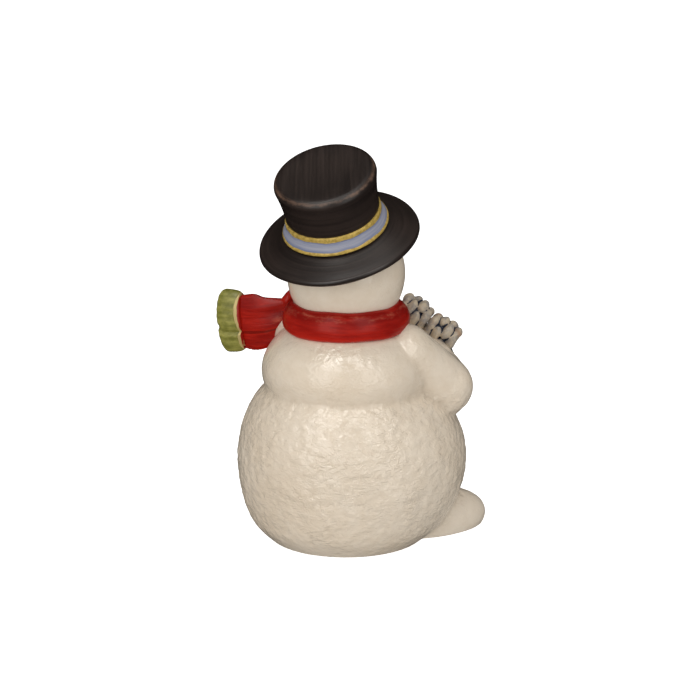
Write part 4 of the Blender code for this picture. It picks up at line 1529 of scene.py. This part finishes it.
@dataclass
class Bunch:
    """Two pine cones and two fir sprigs, held against the chest."""

    marks: Landmarks
    cone_length: float = 17.0 * MM
    cone_radius: float = 6.4 * MM
    scale_rows: int = 4
    scales_round: int = 4
    scale_size: Triple = (2.8 * MM, 4.3 * MM, 2.25 * MM)
    scale_tip: float = math.radians(-24.0)
    softening: int = 5
    lump_depth: float = 0.35 * MM
    needles: int = 15
    needle_length: float = 4.9 * MM
    stem: float = 1.3 * MM
    voxel: float = 0.34 * MM

    def build(self, wash: bpy.types.Material, green: bpy.types.Material) -> None:
        """Builds and dresses the four pieces.

        Args:
            wash: the paint of the cones.
            green: the paint of the sprigs.
        """
        upper = self.marks.on_chest(Side.RIGHT, 0.332, 1.076, 0.075)
        lower = self.marks.on_chest(Side.RIGHT, 0.672, 1.163, 0.304)
        way = lower - upper
        for name, centre, turn in (("upper", upper, 0.2), ("lower", lower, 0.9)):
            cone = self._cone(f"pine_cone_scales_{name}", centre, way, turn)
            dress(cone, wash, "cone_grey", f"pine_cone_{name}")
        low = [(0.052, 1.168, 0.307), (0.367, 1.247, 0.283), (0.709, 1.207, 0.472), (0.814, 1.142, 0.591)]
        high = [
            (-0.157, 1.168, 0.367), (-0.197, 1.234, 0.236), (-0.289, 1.260, 0.092), (-0.394, 1.234, -0.039),
        ]
        for name, shares, across in (("lower", low, (0.0, 0.8, 0.6)), ("upper", high, (1.0, 0.0, 0.0))):
            sprig = self._sprig(f"fir_needles_{name}", shares, across)
            dress(sprig, green, "fir_green", f"fir_sprig_{name}")

    def _cone(self, name: str, centre: Vector, way: Vector, turn: float) -> bpy.types.Object:
        """Makes a core with staggered rows of fat scales, melted together as one pressed piece.

        Args:
            name: the object's name.
            centre: its middle.
            way: the way that it points.
            turn: its turn about its own length, in radians.

        Returns:
            The object, with "hollow": how deep each point lies between the scales.
        """
        core = self.cone_radius * 0.74
        parts = [ball(name, (0.0, 0.0, 0.0), (core, core, self.cone_length * 0.46), 32)]
        scale = ball("scale", (0.0, 0.0, 0.0), (1.0, 1.0, 1.0), 16)
        for row in range(self.scale_rows):
            share = (row + 0.5) / self.scale_rows
            girth = self.cone_radius * math.sin(math.pi * (0.12 + 0.76 * share)) ** 0.7
            height = (share - 0.5) * self.cone_length * 0.88
            for index in range(self.scales_round):
                angle = turn + 2.0 * math.pi * (index + 0.5 * (row % 2)) / self.scales_round
                jitter = noise.noise(Vector((row * 1.7, index * 2.3, turn)))
                long, wide, tall = self.scale_size
                size = (long, wide * (1.0 + 0.25 * jitter), tall * (1.0 + 0.3 * jitter))
                copy = bpy.data.objects.new("scale_copy", scale.data.copy())
                bpy.context.scene.collection.objects.link(copy)
                spot = (girth * 0.84, 0.0, height + jitter * 0.5 * MM)
                copy.data.transform(
                    Matrix.Rotation(angle, 4, "Z") @ Matrix.Translation(spot)
                    @ Matrix.Rotation(self.scale_tip, 4, "Y") @ Matrix.Diagonal((*size, 1.0))
                )
                parts.append(copy)
        bpy.data.objects.remove(scale)
        piece = join(name, parts)
        fused(piece, self.voxel, self.softening)
        lumps = field_noise(points(piece), 3.2 * MM, turn * 9.0)
        move_points(piece, points(piece) + normals(piece) * (lumps * self.lump_depth)[:, None])
        # Painted shade: how deep each point lies between the scales, which the paint darkens.
        store(piece, "hollow", hollows(piece, 4, 8000.0))
        piece.data.transform(Matrix.Translation(centre) @ way.to_track_quat("Z", "X").to_matrix().to_4x4())
        return piece

    def _sprig(self, name: str, shares: Sequence[Triple], across: Triple) -> bpy.types.Object:
        """Makes a stem with needles that sweep forward along it.

        Args:
            name: the object's name.
            shares: the stem's points: out, forward and down from the neck, in radii of the chest.
            across: the way that the needles spread.

        Returns:
            The object.
        """
        spots = [self.marks.on_chest(Side.RIGHT, *share) for share in shares]
        rows = [(*spot, self.stem, self.stem) for spot in spots]
        stem = Route(rows, across, 0.06, 0.10).bar(name, 32, 16)
        parts = [stem]
        dense = smoothed([tuple(row) for row in rows], 12)
        for index in range(self.needles):
            share = 0.06 + 0.88 * index / (self.needles - 1)
            at = int(share * (len(dense) - 1))
            base = Vector(dense[at][:3])
            after, before = dense[min(at + 1, len(dense) - 1)], dense[max(at - 1, 0)]
            along = (Vector(after[:3]) - Vector(before[:3])).normalized()
            outward = along.cross(Vector(across)).normalized()
            reach = self.needle_length * math.sin(math.pi * (0.22 + 0.62 * share))
            for turn in (-1.0, -0.35, 0.35, 1.0):
                wide = Vector(across) * turn + outward * (1.0 - abs(turn)) * 0.8
                tip = base + wide.normalized() * reach + along * reach * 0.75
                needle = [
                    (*base.lerp(tip, t), width, width)
                    for t, width in ((0.0, 0.62 * MM), (0.5, 0.60 * MM), (1.0, 0.22 * MM))
                ]
                parts.append(Route(needle, tuple(along), 0.05, 0.20).bar("needle", 8, 6))
        return join(name, parts)


@dataclass
class Trim:
    """Eyes, carrot nose, coal mouth and coal buttons: a plain face of the maker's own."""

    marks: Landmarks

    def build(self, coal: bpy.types.Material, carrot: bpy.types.Material) -> None:
        """Builds and dresses the eleven pieces.

        Args:
            coal: the paint of the eyes, mouth and buttons.
            carrot: the paint of the nose.
        """
        for side in Side:
            name = side.name.lower()
            self._pebble(f"eye_bead_{name}", f"eye_{name}", 0.03, coal)
        for index in range(1, 6):
            self._pebble(f"mouth_bead_{index}", f"mouth_coal_{index}", 0.12, coal)
        for index in range(1, 4):
            self._pebble(f"button_lump_{index}", f"button_{index}", 0.10, coal)
        self._nose(carrot)

    @staticmethod
    def _pebble(name: str, node: str, rough: float, material: bpy.types.Material) -> None:
        """Makes and dresses a lump in a CAD node's box, with its back sunk into the glaze.

        Args:
            name: the object's name.
            node: the CAD node.
            rough: how lumpy it is, as a share of its radius.
            material: its paint.
        """
        low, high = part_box(node)
        middle = (low + high) / 2
        half = (high - low) / 2
        radius = max(half.x, half.z)
        piece = ball(name, (0.0, 0.0, 0.0), (radius, max(half.y, radius * 0.7), radius), 40)
        places = points(piece)
        lumps = field_noise(places, radius * 0.9, middle.x * 900.0 + middle.z * 300.0)
        places *= (1.0 + rough * lumps)[:, None]
        move_points(piece, places)
        piece.data.transform(Matrix.Translation(middle + Vector((0.0, radius * 0.12, 0.0))))
        dress(piece, material, "coal_black", node)

    def _nose(self, material: bpy.types.Material) -> None:
        """A carrot with shallow rings, drooping a little at its tip.

        Args:
            material: its paint.
        """
        low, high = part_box("nose")
        start = Vector(((low.x + high.x) / 2, high.y + 2.0 * MM, self.marks.head_height - 1.0 * MM))
        length = start.y - low.y
        girth = (high.x - low.x) / 2
        rows = []
        for step in range(6):
            share = step / 5
            rows.append((
                start.x, start.y - length * share, start.z - 1.5 * MM * share**2,
                girth * (1.04 - 0.80 * share), girth * (1.04 - 0.80 * share),
            ))

        def relief(share: np.ndarray, angle: np.ndarray) -> tuple[np.ndarray, np.ndarray]:
            """Rings, each running part of the way round.

            Args:
                share: places along, 0 to 1.
                angle: places round, in radians.

            Returns:
                The change in width and in thickness, in metres.
            """
            ring = -0.16 * np.abs(np.sin(share * 19.0 + 0.8 * np.sin(angle))) ** 12 * MM
            return ring * np.cos(angle), ring * np.sin(angle)

        piece = Route(rows, (0.0, 0.0, 1.0), 0.02, 0.10).bar("carrot_nose", 96, 48, relief)
        dress(piece, material, "carrot_orange", "nose")


class Role(Enum):
    """What a soft box does: lights and shows in the glaze, only lights, or only shows in the glaze."""

    LIGHT = "light"
    FILL = "fill"
    WINDOW = "window"


@dataclass(frozen=True)
class SoftBox:
    """A soft box, placed by its turn from the camera and its rise from level, in degrees."""

    name: str
    turn: float
    rise: float
    away: float
    size: tuple[float, float]
    power: float
    role: Role = Role.LIGHT


SOFT_BOXES = (
    SoftBox("key_box", -31.0, 22.0, 1.3, (0.85, 1.3), 4.4),
    SoftBox("side_box", 36.0, 22.0, 1.3, (0.7, 1.3), 3.1),
    SoftBox("fill_box", -14.0, 7.0, 1.3, (2.4, 0.5), 4.0, Role.FILL),
    SoftBox("top_box", -16.0, 82.0, 1.5, (0.9, 1.1), 2.6),
    SoftBox("left_window", -33.0, 57.0, 1.4, (0.42, 0.60), 3.4, Role.WINDOW),
    SoftBox("right_window", 29.0, 57.0, 1.4, (0.30, 0.60), 2.0, Role.WINDOW),
)


@dataclass
class Studio:
    """Pale floor, soft boxes beside and above the camera, windows for the gloss, and the camera."""

    azimuth: float = math.radians(210.0)
    elevation: float = math.radians(15.0)
    distance: float = 1.2
    lens: float = 136.8
    aim_right: float = 1.8 * MM
    aim_height: float = 86.7 * MM

    def build(self) -> None:
        """Builds the floor, the camera, the lights and the world."""
        self._floor()
        self._camera()
        for box in SOFT_BOXES:
            self._box(box)
        world = bpy.context.scene.world or bpy.data.worlds.new("studio_air")
        bpy.context.scene.world = world
        world.use_nodes = True
        background = world.node_tree.nodes["Background"]
        background.inputs[0].default_value = (1.0, 0.985, 0.96, 1.0)
        background.inputs[1].default_value = 0.57
        world.cycles_visibility.glossy = False
        bpy.context.scene.view_settings.view_transform = "Standard"

    def _frame(self, turn: float, rise: float) -> Matrix:
        """Finds the axes of a thing that looks at the figure.

        Args:
            turn: how far round it is from the camera, in radians.
            rise: how far above level it is, in radians.

        Returns:
            Its axes: right, up and away from the figure.
        """
        angle = self.azimuth + turn
        right = Vector((math.cos(angle), math.sin(angle), 0.0))
        back = Vector((math.sin(angle) * math.cos(rise), -math.cos(angle) * math.cos(rise), math.sin(rise)))
        return Matrix((right, back.cross(right), back)).transposed()

    def _floor(self) -> None:
        """A wide pale floor."""
        deselect()
        bpy.ops.mesh.primitive_plane_add(size=14.0)
        floor = active("studio_floor")
        floor.data.materials.append(FloorPaint().make())
        floor.visible_diffuse = False
        floor.visible_glossy = False
        floor.visible_shadow = False

    def _box(self, box: SoftBox) -> None:
        """Hangs a soft box, facing the figure.

        Args:
            box: its place, size, power and role.
        """
        data = bpy.data.lights.new(box.name, "AREA")
        data.shape = "RECTANGLE"
        data.size, data.size_y = box.size
        data.energy = box.power
        data.color = (1.0, 0.975, 0.94)
        light = bpy.data.objects.new(box.name, data)
        bpy.context.scene.collection.objects.link(light)
        axes = self._frame(math.radians(box.turn), math.radians(box.rise))
        middle = axes.col[2] * box.away + Vector((0, 0, self.aim_height))
        light.matrix_world = Matrix.Translation(middle) @ axes.to_4x4()
        light.visible_diffuse = box.role is not Role.WINDOW
        light.visible_glossy = box.role is not Role.FILL

    def _camera(self) -> None:
        """The camera, a little above and behind the figure's right."""
        data = bpy.data.cameras.new("studio_camera")
        data.lens = self.lens
        data.sensor_width = 36.0
        camera = bpy.data.objects.new("studio_camera", data)
        bpy.context.scene.collection.objects.link(camera)
        axes = self._frame(0.0, self.elevation)
        target = axes.col[0] * self.aim_right + Vector((0.0, 0.0, self.aim_height))
        camera.matrix_world = Matrix.Translation(target + axes.col[2] * self.distance) @ axes.to_4x4()
        bpy.context.scene.camera = camera


def main() -> None:
    """Builds the studio and the figure in order; dressing logs each piece's face count."""
    logging.basicConfig(level=logging.INFO, format="%(name)s: %(message)s")
    Studio().build()
    marks = Landmarks.measured()
    Figure(marks).build(CreamGlaze().make())
    hat = Hat(marks)
    hat.build(HatPaint().make(), BandPaint(hat.band_high - hat.band_low).make())
    Scarf(marks).build(ScarfPaint().make(), CuffPaint().make())
    Bunch(marks).build(ConePaint().make(), FirPaint().make())
    coal = PebblePaint("coal_black", (0.010, 0.010, 0.012), (0.030, 0.030, 0.034)).make()
    carrot = PebblePaint("carrot_orange", (0.720, 0.185, 0.030), (0.480, 0.085, 0.012)).make()
    Trim(marks).build(coal, carrot)
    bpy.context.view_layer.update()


if __name__ == "__main__":
    main()
